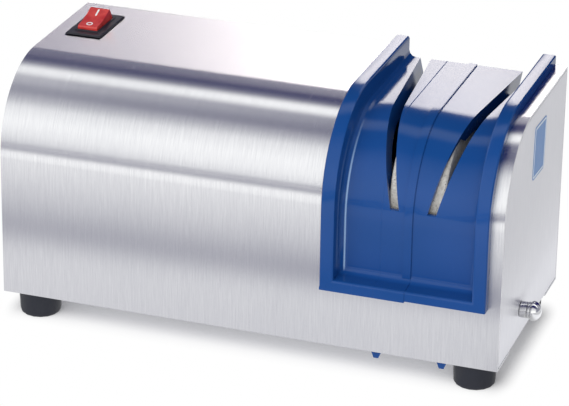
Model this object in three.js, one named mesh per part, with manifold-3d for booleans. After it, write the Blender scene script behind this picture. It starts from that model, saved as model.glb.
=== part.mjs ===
// Electric knife sharpener: a wrapped stainless housing on four rubber feet, a motor with two
// grinding wheels inside, and a moulded two-piece blade guide that lifts off the top.
// Millimetres. X runs along the length from the left end, Y from the front to the back, Z up
// from the housing's bottom edge. The finished group is moved to the centre of its footprint.
import * as THREE from "three";
import { mergeVertices } from "three/addons/utils/BufferGeometryUtils.js";
import Module from "manifold-3d";

// Clearances
const seatGap = 0.3; // between pieces that seat on each other
const overrun = 4; // how far a cutting solid passes the face that it cuts
const weldDistance = 1e-4;

// Round forms
const arcSteps = 12;
const wheelSides = 36;
const turnedSides = 24;
const innerSides = 16;
const footSides = 16;
const smallSides = 8;
const screwCrownShare = 0.75; // a screw head's flat top against its underside
const hexSides = 6;

// Housing cover: one sheet wrapped over the front shoulder, the top and the back
const housingLength = 318;
const housingDepth = 140;
const housingHeight = 143.8;
const shoulderRadius = 54;
const coverThickness = 1.5;
const coverFlangeWidth = 27;

// End panels, with a flange turned inwards all round
const panelThickness = 1.5;
const panelFlangeLength = 9;
const basePlateThickness = 1.5;
const partitionThickness = 1.5;
const partitionGap = 9; // from the guide's left edge
const partitionFlangeLength = 14;

// Vents in the base plate below the motor
const ventCount = 6;
const ventRows = 2;
const ventLength = 22;
const ventWidth = 3.5;
const ventPitch = 11;
const ventRowPitch = 40;

// Feet and their screws
const footTopRadius = 13.4;
const footBottomRadius = 12.7;
const footHeight = 17.2;
const footEdgeRadius = 2.4;
const footInsetX = 17.9;
const footInsetY = 16;
const footRecessRadius = 5.2;
const footRecessDepth = 8.5;
const footScrewRadius = 2;
const footScrewHeadRadius = 4;
const footScrewHeadHeight = 2.6;
const footScrewReach = 3.5;

// Screws that hold the base plate to the end panels
const baseScrewRadius = 1.5;
const baseScrewHeadRadius = 2.9;
const baseScrewHeadHeight = 1.6;
const baseScrewReach = 3;
const baseScrewInset = 6;
const baseScrewY = 42;

// Blade guide: two moulded halves that meet on a seam over the wheels
const guideRightInset = 7.7; // from the housing's right end
const guideLeftWidth = 52.8; // from the left edge to the seam
const guideRightWidth = 49.5;
const rimProud = 6;
const rimWidth = 8.7;
const rimOverlap = 3;
const rimEdge = 0.7;
const rimInnerEdge = 1.5;
const trayDepth = 13.3;
const trayShoulderRadius = 54.7; // the tray's shoulder lies further back than the housing's
const trayFloorThickness = 2.5;
const trayFilletRadius = 4.5;
const trayWallThickness = 2.8;
const trayWallDepth = 16;
const filletSteps = 3;
const rimSteps = 2;
const guideBottomZ = 39.3;
const guideHeelDrop = 1;
const guideFootRimHeight = 6.2;
const guideLedgeRise = 0.4;
const guideLipOverlap = 4.2;
const seamStripWidth = 5;
const seamStripHeight = 0.9;
const backOpeningDrop = 45.8; // below the housing's top
const backSkirtThickness = 3;

// Blade slots: each lies between two leaning planes, mirrored about the wheels' middle
const slotCentreFromSeam = -0.3;
const slotInnerFoot = 8.6;
const slotOuterFoot = 13.9;
const slotPlanAngle = 5.2;
const slotInnerLean = 10.8;
const slotOuterLean = 12.7;
const slotFootRise = 0.6; // above the level where the shoulder starts
const slotBackDrop = 25.8; // below the housing's top
const slotBackRampInset = 38; // from the back
const cheekThickness = 2.4;
const cheekDepth = 12;
const cheekFrontAngle = 18; // from where the tray's shoulder starts
const cheekSteps = 6;

// Legs that drop through the base plate, and the fork that the plunger holds
const legCentresFromSeam = [-18.6, 22.2];
const legTopWidth = 14;
const legTopRise = 1.4; // into the ledge
const legWaistWidth = 8;
const legWaistZ = 1.6;
const legTipWidth = 3;
const legTipZ = -4.8;
const legThickness = 3.2;
const legSlotMargin = 0.6;
const forkWidth = 16;
const forkBottomZ = 10;

// Screws that join the guide's halves
const guideScrewRadius = 1.5;
const guideScrewHeadRadius = 3;
const guideScrewHeadHeight = 2.2;
const guideBossRadius = 4.2;
const guideBossLength = 9;
const guideBackBossInset = 20; // from the back
const guideSkirtBossRise = 8; // above the foot of the opening in the back
const guideFootBossY = 7.4;
const bossDropShare = 0.8; // how far a boss stands off the wall that it grows from

// Shaft, bearings and grinding wheels
const shaftRadius = 5;
const shaftLeftTail = 30; // past the motor's shell
const shaftTail = 10;
const wheelThickness = 13;
const wheelPairWidth = 34;
const wheelEdge = 1;
const wheelFlangeRadius = 18;
const wheelFlangeThickness = 4;
const hubRadius = 10;
const hubLength = 16;
const wheelNutFlats = 19;
const wheelNutLength = 8;
const nutChamfer = 1;
const bearingRadius = 9;
const bearingLength = 10;
const bearingFlangeRadius = 14;
const bearingFlangeThickness = 2.2;
const wheelClearance = 1.7;

// Motor
const motorLeftRoom = 80; // between the left end and the motor's shell, for the switch and the fan
const motorRightRoom = 27; // between the shell and the partition
const motorSideRoom = 11; // between the shell and the housing's front
const motorShellThickness = 2;
const bellDepth = 12;
const bellWeb = 2.5;
const bellHubRadius = 13;
const bellRimWidth = 7;
const statorEndRoom = 16; // between the core and the shell's end
const airGap = 0.6;
const statorSlots = 8;
const statorSlotRadius = 4;
const statorSlotInset = 14.5; // from the shell's outside to the slots' circle
const statorTooth = 5.9; // between the slots' circle and the bore
const coilInnerReach = 4.3; // from the slots' circle
const coilOuterReach = 5.5;
const coilOverhang = 11;
const coilEdge = 2.5;
const motorBoltRadius = 2;
const motorBoltHeadRadius = 3.8;
const motorBoltHeadHeight = 3;
const motorBoltInset = 6;
const fanInset = 8; // inside the shell's outside
const fanWidth = 12;
const fanDiscThickness = 1.6;
const fanBladeThickness = 1.4;
const fanBlades = 6;
const fanHubRadius = 9;

// Cradle and straps that hold the motor
const cradleInset = 4; // from the shell's end
const cradleFloorThickness = 2.5;
const cradleFloorInset = 10; // inside the shell's outside, each side
const saddleThickness = 7;
const saddleWall = 6.5; // outside the shell, each side
const saddleTopDrop = 10;
const saddleShoulderDrop = 30;
const strapThickness = 1.5;
const strapScrewRadius = 1.4;
const strapScrewHeadRadius = 2.8;
const strapScrewHeadHeight = 2;
const strapScrewReach = 12;

// Capacitor and its clip
const capacitorRadius = 12;
const capacitorLength = 52;
const capacitorX = 15;
const capacitorInset = 28; // from the back
const capacitorLift = 3.5;
const capacitorEdge = 1.5;
const clipThickness = 1.2;
const clipWidth = 12;
const clipFootLength = 8;

// Cord gland on the back, with its nut inside
const glandX = 40;
const glandZ = 27;
const glandThreadRadius = 8;
const glandBoreRadius = 4.2;
const glandFlangeRadius = 12;
const glandFlangeThickness = 3;
const glandCapRadius = 10;
const glandLength = 14;
const glandInnerLength = 9;
const glandNutFlats = 22;
const glandNutThickness = 4;

// Rocker switch
const switchX = 21.4;
const switchInset = 38.9; // from the back
const bezelWidth = 23.9;
const bezelLength = 41.6;
const bezelThickness = 1.1;
const bezelEdge = 0.6;
const switchBodyWidth = 20.8;
const switchBodyLength = 36.6;
const switchBodyDepth = 26;
const switchPocketDepth = 17;
const windowLipHeight = 0.7;
const windowLipWidth = 1.2;
const terminalCount = 4;
const terminalWidth = 6.3;
const terminalThickness = 0.8;
const terminalLength = 8;
const terminalPitch = 11;
const rockerWidth = 12.9;
const rockerTopHalfLength = 11.5;
const rockerBodyRadius = 13.2;
const rockerEndHeight = 9;
const rockerValleyHeight = 8;
const rockerBodyDepth = 5;
const rockerEndRound = 1.7;
const rockerTilt = 14;
const rockerPivotDepth = 2.1;
const rockerPinRadius = 1.2;
const rockerPinReach = 2;

// Plunger that holds the guide down, through the right end panel
const plungerY = 49.9;
const plungerZ = 19.3;
const plungerRodRadius = 1.9;
const plungerCollarRadius = 2.9;
const plungerCollarLength = 2.4;
const bushingBarrelRadius = 4;
const bushingInset = 1.7;
const bushingCollarRadius = 5;
const bushingCollarLength = 4.2;
const bushingEndWall = 1.6;
const plungerNutFlats = 12;
const plungerNutThickness = 4;
const knobLength = 8.4;
const knobRadius = 6.2;
const knobNeckRadius = 4.4;
const knobSkirtRadius = 5.2;
const knobRingLength = 1.8;
const knobGrooveLength = 0.4;
const knobBackAngle = 12; // where the head starts, before its widest
const knobSteps = 5;
const knobBlindDepth = 5.2;
const springWireRadius = 0.3;
const springTurns = 4;
const springStepsPerTurn = 8;
const springSides = 5;

// Places worked out from the sizes above
const axisY = shoulderRadius;
const axisZ = housingHeight - shoulderRadius;
const guideRight = housingLength - guideRightInset;
const guideSeam = guideRight - guideRightWidth;
const guideLeft = guideSeam - guideLeftWidth;
const guideBackBossY = housingDepth - guideBackBossInset;
const slotCentreX = guideSeam + slotCentreFromSeam;
const slotBackRampY = housingDepth - slotBackRampInset;
const partitionX = guideLeft - partitionGap;
const motorShellLength = partitionX - motorRightRoom - motorLeftRoom;
const motorCentreX = motorLeftRoom + motorShellLength / 2;
const shaftLeftX = motorLeftRoom - shaftLeftTail;
const statorLength = motorShellLength - statorEndRoom * 2;
const cradleLength = motorShellLength - cradleInset * 2;
const capacitorY = housingDepth - capacitorInset;
const switchY = housingDepth - switchInset;
const halfSeat = seatGap / 2;
const coverSeat = coverThickness + seatGap;
const baseBottomZ = coverSeat;
const baseTopZ = baseBottomZ + basePlateThickness;
const innerFloorZ = baseTopZ + seatGap;
const openingLeft = guideLeft + rimOverlap;
const openingRight = guideRight - rimOverlap;
const openingBottomZ = guideBottomZ + guideLipOverlap;
const trayLeft = guideLeft + rimWidth;
const trayRight = guideRight - rimWidth;
const trayFloor = rimProud - trayDepth;
const trayUnderside = trayFloor - trayFloorThickness;
const trayTopZ = housingHeight + trayFloor;
const trayArcY = trayShoulderRadius - trayFloor;
const trayArcZ = trayTopZ - trayShoulderRadius;
const trayBottomZ = openingBottomZ + seatGap;
const trayArcOffset = Math.hypot(trayArcY - axisY, axisZ - trayArcZ);
const wheelRoomRadius = trayShoulderRadius - trayFloorThickness - trayArcOffset;
const wheelRadius = wheelRoomRadius - wheelClearance;
const motorShellRadius = shoulderRadius - motorSideRoom;
const motorBoltCircle = motorShellRadius - motorBoltInset;
const statorSlotCircle = motorShellRadius - statorSlotInset;
const statorBoreRadius = statorSlotCircle - statorTooth;
const coilInnerRadius = statorSlotCircle - coilInnerReach;
const coilOuterRadius = statorSlotCircle + coilOuterReach;
const fanRadius = motorShellRadius - fanInset;
const cradleFloorWidth = (motorShellRadius - cradleFloorInset) * 2;
const saddleHalfWidth = motorShellRadius + saddleWall;
const backOpeningZ = housingHeight - backOpeningDrop;
const guideSkirtBossZ = backOpeningZ + guideSkirtBossRise;
const slotFootZ = axisZ + slotFootRise;
const slotBackZ = housingHeight - slotBackDrop;
const wheelsLeft = slotCentreX - wheelPairWidth / 2;
const wheelsRight = slotCentreX + wheelPairWidth / 2;
const plungerX = housingLength;
const footCentres = [
  ["front_left", footInsetX, footInsetY],
  ["front_right", housingLength - footInsetX, footInsetY],
  ["back_left", footInsetX, housingDepth - footInsetY],
  ["back_right", housingLength - footInsetX, housingDepth - footInsetY],
];
const baseScrewPlaces = [
  ["front_left", baseScrewInset, baseScrewY],
  ["front_right", housingLength - baseScrewInset, baseScrewY],
  ["back_left", baseScrewInset, housingDepth - baseScrewY],
  ["back_right", housingLength - baseScrewInset, housingDepth - baseScrewY],
];

const finishes = {
  stainless: { color: 0xc9c9cf, roughness: 0.32, metalness: 1 },
  blue: { color: 0x24508f, roughness: 0.22, metalness: 0 },
  abrasive: { color: 0xc7c5bd, roughness: 0.95, metalness: 0 },
  rubber: { color: 0x2a2d35, roughness: 0.8, metalness: 0 },
  black: { color: 0x1c1c22, roughness: 0.4, metalness: 0 },
  red: { color: 0xc8322e, roughness: 0.3, metalness: 0 },
  chrome: { color: 0xdcdce0, roughness: 0.12, metalness: 1 },
  steel: { color: 0x9a9ca2, roughness: 0.4, metalness: 1 },
  painted: { color: 0x3c4046, roughness: 0.55, metalness: 0.3 },
  copper: { color: 0xb0643a, roughness: 0.45, metalness: 0.8 },
  bronze: { color: 0xa9844a, roughness: 0.45, metalness: 0.9 },
  nylon: { color: 0xd8d6cc, roughness: 0.6, metalness: 0 },
};

const wasm = await Module();
wasm.setup();
const model = new THREE.Group();

// A closed solid from a geometry, facing out.
function solid(geometry) {
  const bare = geometry.clone();
  bare.deleteAttribute("normal");
  bare.deleteAttribute("uv");
  const merged = mergeVertices(bare, weldDistance);
  const source = merged.index.array;
  const corners = [];
  for (let i = 0; i < source.length; i += 3) {
    const [a, b, c] = [source[i], source[i + 1], source[i + 2]];
    if (a !== b && b !== c && c !== a) corners.push(a, b, c);
  }
  const positions = new Float32Array(merged.attributes.position.array);
  const facing = (order) =>
    new wasm.Manifold(
      new wasm.Mesh({ numProp: 3, vertProperties: positions, triVerts: new Uint32Array(order) }),
    );
  const made = facing(corners);
  if (made.volume() > 0) return made;
  const turned = [];
  for (let i = 0; i < corners.length; i += 3) {
    turned.push(corners[i], corners[i + 2], corners[i + 1]);
  }
  return facing(turned);
}

function join(...solids) {
  return solids.reduce((whole, next) => whole.add(next));
}

function cut(whole, ...tools) {
  return tools.reduce((left, tool) => left.subtract(tool), whole);
}

// Adds one finished sub-part to the model as a named mesh.
function addPart(name, shape, finish) {
  const { vertProperties, triVerts } = shape.getMesh();
  const geometry = new THREE.BufferGeometry();
  geometry.setAttribute("position", new THREE.BufferAttribute(new Float32Array(vertProperties), 3));
  geometry.setIndex(new THREE.BufferAttribute(new Uint32Array(triVerts), 1));
  geometry.computeVertexNormals();
  const mesh = new THREE.Mesh(geometry, new THREE.MeshStandardMaterial(finishes[finish]));
  mesh.name = name;
  model.add(mesh);
}

function box([x0, x1], [y0, y1], [z0, z1]) {
  const geometry = new THREE.BoxGeometry(x1 - x0, y1 - y0, z1 - z0);
  geometry.translate((x0 + x1) / 2, (y0 + y1) / 2, (z0 + z1) / 2);
  return solid(geometry);
}

// An outline drawn in Y and Z, pulled along X.
function pulledAlongX(shape, x0, x1, curveSegments = arcSteps) {
  const settings = { depth: x1 - x0, bevelEnabled: false, curveSegments };
  const geometry = new THREE.ExtrudeGeometry(shape, settings);
  const basis = new THREE.Matrix4().makeBasis(
    new THREE.Vector3(0, 1, 0),
    new THREE.Vector3(0, 0, 1),
    new THREE.Vector3(1, 0, 0),
  );
  geometry.applyMatrix4(basis);
  geometry.translate(x0, 0, 0);
  return solid(geometry);
}

// An outline drawn in X and Z, pulled along Y.
function pulledAlongY(shape, y0, y1) {
  const geometry = new THREE.ExtrudeGeometry(shape, { depth: y1 - y0, bevelEnabled: false });
  geometry.rotateX(Math.PI / 2);
  geometry.translate(0, y1, 0);
  return solid(geometry);
}

// A profile of [radius, distance along the axis] turned about X, Y or Z, from a centre.
function turned(profile, axis, centre, sides = turnedSides) {
  const points = profile.map(([radius, along]) => new THREE.Vector2(radius, along));
  const first = points[0];
  const last = points[points.length - 1];
  if (first.x > 0 || last.x > 0) points.push(first.clone());
  const geometry = new THREE.LatheGeometry(points, sides);
  if (axis === "x") geometry.rotateZ(-Math.PI / 2);
  if (axis === "z") geometry.rotateX(Math.PI / 2);
  geometry.translate(...centre);
  return solid(geometry);
}

function rod(radius, start, end, axis, centre, sides = turnedSides) {
  return turned([[0, start], [radius, start], [radius, end], [0, end]], axis, centre, sides);
}

function ring(innerRadius, outerRadius, start, end, axis, centre, sides = turnedSides) {
  const profile = [
    [innerRadius, start], [outerRadius, start], [outerRadius, end], [innerRadius, end],
  ];
  return turned(profile, axis, centre, sides);
}

// A screw with a domed head at 0 and its shank pointing along the axis.
function screw(radius, length, headRadius, headHeight, axis, centre, direction = 1) {
  const profile = [
    [0, -headHeight],
    [headRadius * screwCrownShare, -headHeight],
    [headRadius, 0],
    [radius, 0],
    [radius, length],
    [0, length],
  ];
  const aimed = profile.map(([r, along]) => [r, along * direction]);
  return turned(aimed, axis, centre, smallSides);
}

// A nut with six flats and chamfered corners.
function hexNut(flats, boreRadius, start, end, axis, centre) {
  const cornerRadius = flats / 2 / Math.cos(Math.PI / hexSides);
  const body = rod(cornerRadius, start, end, axis, centre, hexSides);
  const chamfered = turned(
    [
      [boreRadius, start],
      [cornerRadius - nutChamfer, start],
      [cornerRadius, start + nutChamfer],
      [cornerRadius, end - nutChamfer],
      [cornerRadius - nutChamfer, end],
      [boreRadius, end],
    ],
    axis,
    centre,
    hexSides * 2,
  );
  return body.intersect(chamfered);
}

// The housing's side outline at an offset outwards, from a bottom height to a back plane.
function housingOutline(offset, bottomZ, backY) {
  const shape = new THREE.Shape();
  shape.moveTo(-offset, bottomZ);
  shape.lineTo(-offset, axisZ);
  shape.absarc(axisY, axisZ, shoulderRadius + offset, Math.PI, Math.PI / 2, true);
  shape.lineTo(backY, housingHeight + offset);
  shape.lineTo(backY, bottomZ);
  return shape;
}

// Stations up the front, round the shoulder and along the top, each with its outward normal.
function housingStations(bottomZ, backY) {
  const stations = [{ y: 0, z: bottomZ, normalY: -1, normalZ: 0 }];
  for (let i = 0; i <= arcSteps; i++) {
    const angle = Math.PI - ((Math.PI / 2) * i) / arcSteps;
    const [normalY, normalZ] = [Math.cos(angle), Math.sin(angle)];
    const y = axisY + shoulderRadius * normalY;
    const z = axisZ + shoulderRadius * normalZ;
    stations.push({ y, z, normalY, normalZ });
  }
  stations.push({ y: backY, z: housingHeight, normalY: 0, normalZ: 1 });
  return stations;
}

// The same stations, with two more where the tray's own shoulder starts and ends.
function trayStations(bottomZ) {
  const stations = housingStations(bottomZ, housingDepth);
  stations.splice(1, 0, { y: 0, z: trayArcZ, normalY: -1, normalZ: 0 });
  stations.splice(-1, 0, { y: trayArcY, z: housingHeight, normalY: 0, normalZ: 1 });
  return stations;
}

// The offset of the tray's floor at a station: flat, round its own shoulder, and flat again.
function trayFloorAt({ y, z, normalY, normalZ }) {
  const fromY = Math.min(y - trayArcY, 0);
  const fromZ = Math.max(z - trayArcZ, 0);
  const along = fromY * normalY + fromZ * normalZ;
  return Math.sqrt(along ** 2 - fromY ** 2 - fromZ ** 2 + trayShoulderRadius ** 2) - along;
}

// A section of [x, offset] points for each station, carried along them as one closed solid.
function carried(sectionAt, stations) {
  const outline = sectionAt(stations[0]).map(([x, offset]) => new THREE.Vector2(x, offset));
  const positions = [];
  for (const station of stations) {
    for (const [x, offset] of sectionAt(station)) {
      positions.push(x, station.y + station.normalY * offset, station.z + station.normalZ * offset);
    }
  }
  const count = outline.length;
  const faces = [];
  for (let s = 0; s < stations.length - 1; s++) {
    for (let i = 0; i < count; i++) {
      const [a, b] = [s * count + i, s * count + ((i + 1) % count)];
      faces.push(a, b, b + count, a, b + count, a + count);
    }
  }
  const lastRing = (stations.length - 1) * count;
  const turnedFaces = THREE.ShapeUtils.isClockWise(outline);
  for (const [a, b, c] of THREE.ShapeUtils.triangulateShape(outline, [])) {
    const [p, q] = turnedFaces ? [c, b] : [b, c];
    faces.push(a, q, p);
    faces.push(a + lastRing, p + lastRing, q + lastRing);
  }
  const geometry = new THREE.BufferGeometry();
  geometry.setAttribute("position", new THREE.Float32BufferAttribute(positions, 3));
  geometry.setIndex(faces);
  return solid(geometry);
}

function makeCover() {
  const shape = new THREE.Shape();
  const innerTopZ = housingHeight - coverThickness;
  const innerRadius = shoulderRadius - coverThickness;
  shape.moveTo(0, 0);
  shape.lineTo(0, axisZ);
  shape.absarc(axisY, axisZ, shoulderRadius, Math.PI, Math.PI / 2, true);
  shape.lineTo(housingDepth, housingHeight);
  shape.lineTo(housingDepth, 0);
  shape.lineTo(housingDepth - coverFlangeWidth, 0);
  shape.lineTo(housingDepth - coverFlangeWidth, coverThickness);
  shape.lineTo(housingDepth - coverThickness, coverThickness);
  shape.lineTo(housingDepth - coverThickness, innerTopZ);
  shape.lineTo(axisY, innerTopZ);
  shape.absarc(axisY, axisZ, innerRadius, Math.PI / 2, Math.PI, false);
  shape.lineTo(coverThickness, coverThickness);
  shape.lineTo(coverFlangeWidth, coverThickness);
  shape.lineTo(coverFlangeWidth, 0);
  const wrap = pulledAlongX(shape, 0, housingLength);
  const openingX = [openingLeft, openingRight];
  const topZ = housingHeight + overrun;
  const frontOpening = box(openingX, [-overrun, axisY], [openingBottomZ, topZ]);
  const backOpening = box(openingX, [axisY, housingDepth + overrun], [backOpeningZ, topZ]);
  const switchOpening = box(
    spanAbout(switchX, switchBodyWidth / 2 + seatGap),
    spanAbout(switchY, switchBodyLength / 2 + seatGap),
    [innerTopZ - overrun, topZ],
  );
  const glandHole = rod(
    glandThreadRadius + seatGap,
    -overrun,
    overrun,
    "y",
    [glandX, housingDepth, glandZ],
    innerSides,
  );
  const holes = footCentres.map(([, x, y]) =>
    rod(footScrewRadius + seatGap, -overrun, overrun, "z", [x, y, 0], smallSides),
  );
  return cut(wrap, frontOpening, backOpening, switchOpening, glandHole, ...legSlots(), ...holes);
}

function spanAbout(centre, halfWidth) {
  return [centre - halfWidth, centre + halfWidth];
}

// Slots in the cover's front flange and the base plate for the guide's legs.
function legSlots() {
  return legCentresFromSeam.map((fromSeam) =>
    box(
      spanAbout(guideSeam + fromSeam, legWaistWidth / 2 + legSlotMargin),
      [coverSeat, coverSeat + seatGap + legThickness + legSlotMargin],
      [-overrun, baseTopZ + overrun],
    ),
  );
}

// One end panel: a flat plate with a flange turned in along its whole edge.
function makeEndPanel(outerX, inward) {
  const place = (a, b) => [outerX + inward * a, outerX + inward * b].sort((p, q) => p - q);
  const backY = housingDepth - coverSeat;
  const plate = pulledAlongX(
    housingOutline(-coverSeat, baseBottomZ, backY),
    ...place(0, panelThickness),
  );
  const flangeOuter = pulledAlongX(
    housingOutline(-coverSeat, innerFloorZ, backY),
    ...place(0, panelFlangeLength),
  );
  const flangeInner = pulledAlongX(
    housingOutline(-coverSeat - panelThickness, innerFloorZ + panelThickness, backY - panelThickness),
    ...place(panelThickness, panelFlangeLength + overrun),
  );
  const screwHoles = baseScrewPlaces.map(([, x, y]) =>
    rod(baseScrewRadius + seatGap, 0, innerFloorZ + overrun, "z", [x, y, 0], smallSides),
  );
  return cut(join(plate, flangeOuter), flangeInner, ...screwHoles);
}

function makeRightEndPanel() {
  const hole = rod(
    bushingBarrelRadius + seatGap, -overrun, overrun, "x", [plungerX, plungerY, plungerZ],
  );
  return cut(makeEndPanel(housingLength, -1), hole);
}

function makeBasePlate() {
  const sheet = box(
    [panelThickness + seatGap, housingLength - panelThickness - seatGap],
    [coverSeat, housingDepth - coverSeat],
    [baseBottomZ, baseTopZ],
  );
  const cuts = legSlots();
  for (const [, x, y] of footCentres) {
    cuts.push(rod(footScrewRadius + seatGap, 0, baseTopZ + overrun, "z", [x, y, 0], smallSides));
  }
  for (const [, x, y] of baseScrewPlaces) {
    cuts.push(rod(baseScrewRadius + seatGap, 0, baseTopZ + overrun, "z", [x, y, 0], smallSides));
  }
  for (let row = 0; row < ventRows; row++) {
    const y = axisY + (row - (ventRows - 1) / 2) * ventRowPitch + ventRowPitch / 2;
    for (let i = 0; i < ventCount; i++) {
      const x = motorCentreX + (i - (ventCount - 1) / 2) * ventPitch;
      const spanZ = [0, baseTopZ + overrun];
      cuts.push(box(spanAbout(x, ventWidth / 2), spanAbout(y, ventLength / 2), spanZ));
    }
  }
  return cut(sheet, ...cuts);
}

function makePartition() {
  const backY = housingDepth - coverSeat;
  const wall = pulledAlongX(
    housingOutline(-coverSeat, innerFloorZ, backY),
    partitionX,
    partitionX + partitionThickness,
  );
  const flange = box(
    [partitionX - partitionFlangeLength, partitionX + partitionThickness / 2],
    [coverSeat + coverFlangeWidth, housingDepth - coverSeat - coverFlangeWidth],
    [innerFloorZ, innerFloorZ + partitionThickness],
  );
  const bearingHole = rod(
    bearingRadius + seatGap, -overrun, overrun, "x", [partitionX, axisY, axisZ],
  );
  return cut(join(wall, flange), bearingHole);
}

// A turned rubber foot, a little narrower at its rounded lower edge, with a screw recess.
function makeFoot(x, y) {
  const bottom = -footHeight;
  const profile = [
    [footScrewRadius + seatGap, -seatGap],
    [footTopRadius, -seatGap],
  ];
  for (let i = 0; i <= filletSteps; i++) {
    const angle = (Math.PI / 2) * (i / filletSteps);
    profile.push([
      footBottomRadius - footEdgeRadius * (1 - Math.cos(angle)),
      bottom + footEdgeRadius * (1 - Math.sin(angle)),
    ]);
  }
  profile.push([footRecessRadius, bottom]);
  profile.push([footRecessRadius, bottom + footRecessDepth]);
  profile.push([footScrewRadius + seatGap, bottom + footRecessDepth]);
  return turned(profile, "z", [x, y, 0], footSides);
}

function makeFootScrew(x, y) {
  const seatZ = -footHeight + footRecessDepth - seatGap;
  const length = baseTopZ + footScrewReach - seatZ;
  return screw(
    footScrewRadius, length, footScrewHeadRadius, footScrewHeadHeight, "z", [x, y, seatZ],
  );
}

function makeBaseScrew(x, y) {
  const seatZ = baseBottomZ - seatGap;
  const length = innerFloorZ + panelThickness + baseScrewReach - seatZ;
  return screw(
    baseScrewRadius, length, baseScrewHeadRadius, baseScrewHeadHeight, "z", [x, y, seatZ],
  );
}

// How far a slot's inner or outer plane lies from the wheels' middle, at a height and depth.
function slotPlane(outer, y, z) {
  const foot = outer ? slotOuterFoot : slotInnerFoot;
  const lean = Math.tan(THREE.MathUtils.degToRad(outer ? slotOuterLean : slotInnerLean));
  const turn = Math.tan(THREE.MathUtils.degToRad(slotPlanAngle));
  return foot + (y + trayFloor) * turn + (z - slotFootZ) * lean;
}

// A side outline pulled between a slot's two leaning planes, each moved out by a margin.
function betweenSlotPlanes(shape, side, margin) {
  const geometry = new THREE.ExtrudeGeometry(shape, {
    depth: 1,
    bevelEnabled: false,
    curveSegments: cheekSteps,
  });
  const position = geometry.getAttribute("position");
  for (let i = 0; i < position.count; i++) {
    const [y, z, outer] = [position.getX(i), position.getY(i), position.getZ(i) > 0];
    const spread = slotPlane(outer, y, z) + (outer ? margin : -margin);
    position.setXYZ(i, slotCentreX + side * spread, y, z);
  }
  return solid(geometry);
}

function polygon(points) {
  return new THREE.Shape(points.map(([a, b]) => new THREE.Vector2(a, b)));
}

function makeSlot(side) {
  const topZ = housingHeight + rimProud + overrun;
  const outline = polygon([
    [-rimProud - overrun, slotFootZ],
    [axisY, slotFootZ],
    [slotBackRampY, slotBackZ],
    [housingDepth + overrun, slotBackZ],
    [housingDepth + overrun, topZ],
    [-rimProud - overrun, topZ],
  ]);
  return betweenSlotPlanes(outline, side, 0);
}

// Walls under the tray on both sides of a slot, from low on the shoulder to the back.
function makeCheeks(side) {
  const backY = housingDepth - backSkirtThickness / 2;
  const outerRadius = trayShoulderRadius - trayFloorThickness / 2;
  const innerRadius = trayShoulderRadius - cheekDepth;
  const frontAngle = Math.PI - THREE.MathUtils.degToRad(cheekFrontAngle);
  const outline = new THREE.Shape();
  outline.moveTo(backY, trayArcZ + outerRadius);
  outline.lineTo(trayArcY, trayArcZ + outerRadius);
  outline.absarc(trayArcY, trayArcZ, outerRadius, Math.PI / 2, frontAngle, false);
  outline.absarc(trayArcY, trayArcZ, innerRadius, frontAngle, Math.PI / 2, true);
  outline.lineTo(backY, trayArcZ + innerRadius);
  return betweenSlotPlanes(outline, side, cheekThickness);
}

// The top of one rim in X and offset, from its outer side over to its rounded inner edge.
function rimTop(outerX, innerX) {
  const side = Math.sign(innerX - outerX);
  const points = [
    [outerX, rimProud - rimEdge],
    [outerX + side * rimEdge, rimProud],
  ];
  for (let i = 0; i <= rimSteps; i++) {
    const angle = (Math.PI / 2) * (i / rimSteps);
    points.push([
      innerX - side * rimInnerEdge * (1 - Math.sin(angle)),
      rimProud - rimInnerEdge * (1 - Math.cos(angle)),
    ]);
  }
  return points;
}

// The quarter round between one of the tray's walls and its floor, from the wall down.
function trayFillet(wallX, floor) {
  const side = Math.sign(guideSeam - wallX);
  const points = [];
  for (let i = 0; i <= filletSteps; i++) {
    const angle = (Math.PI / 2) * (i / filletSteps);
    points.push([
      wallX + side * trayFilletRadius * (1 - Math.cos(angle)),
      floor + trayFilletRadius * (1 - Math.sin(angle)),
    ]);
  }
  return points;
}

// The tray's section in X and offset: two rims, filleted walls, the floor and inner skirts.
function traySectionAt(station) {
  const floor = trayFloorAt(station);
  const underside = floor - trayFloorThickness;
  const wallLeft = openingLeft + seatGap;
  const wallRight = openingRight - seatGap;
  return [
    [wallLeft, seatGap],
    [guideLeft, seatGap],
    ...rimTop(guideLeft, trayLeft),
    ...trayFillet(trayLeft, floor),
    ...trayFillet(trayRight, floor).reverse(),
    ...rimTop(guideRight, trayRight).reverse(),
    [guideRight, seatGap],
    [wallRight, seatGap],
    [wallRight, -trayWallDepth],
    [wallRight - trayWallThickness, -trayWallDepth],
    [wallRight - trayWallThickness, underside],
    [wallLeft + trayWallThickness, underside],
    [wallLeft + trayWallThickness, -trayWallDepth],
    [wallLeft, -trayWallDepth],
  ];
}

// The rims below the opening, where they lie flat on the front sheet.
function makeRimFeet() {
  const section = (outerX, innerX) => () => [
    [outerX, seatGap],
    ...rimTop(outerX, innerX),
    [innerX, seatGap],
  ];
  const stations = [guideBottomZ, trayBottomZ + overrun].map((z) => (
    { y: 0, z, normalY: -1, normalZ: 0 }
  ));
  return join(
    carried(section(guideLeft, trayLeft), stations),
    carried(section(guideRight, trayRight), stations),
  );
}

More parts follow.
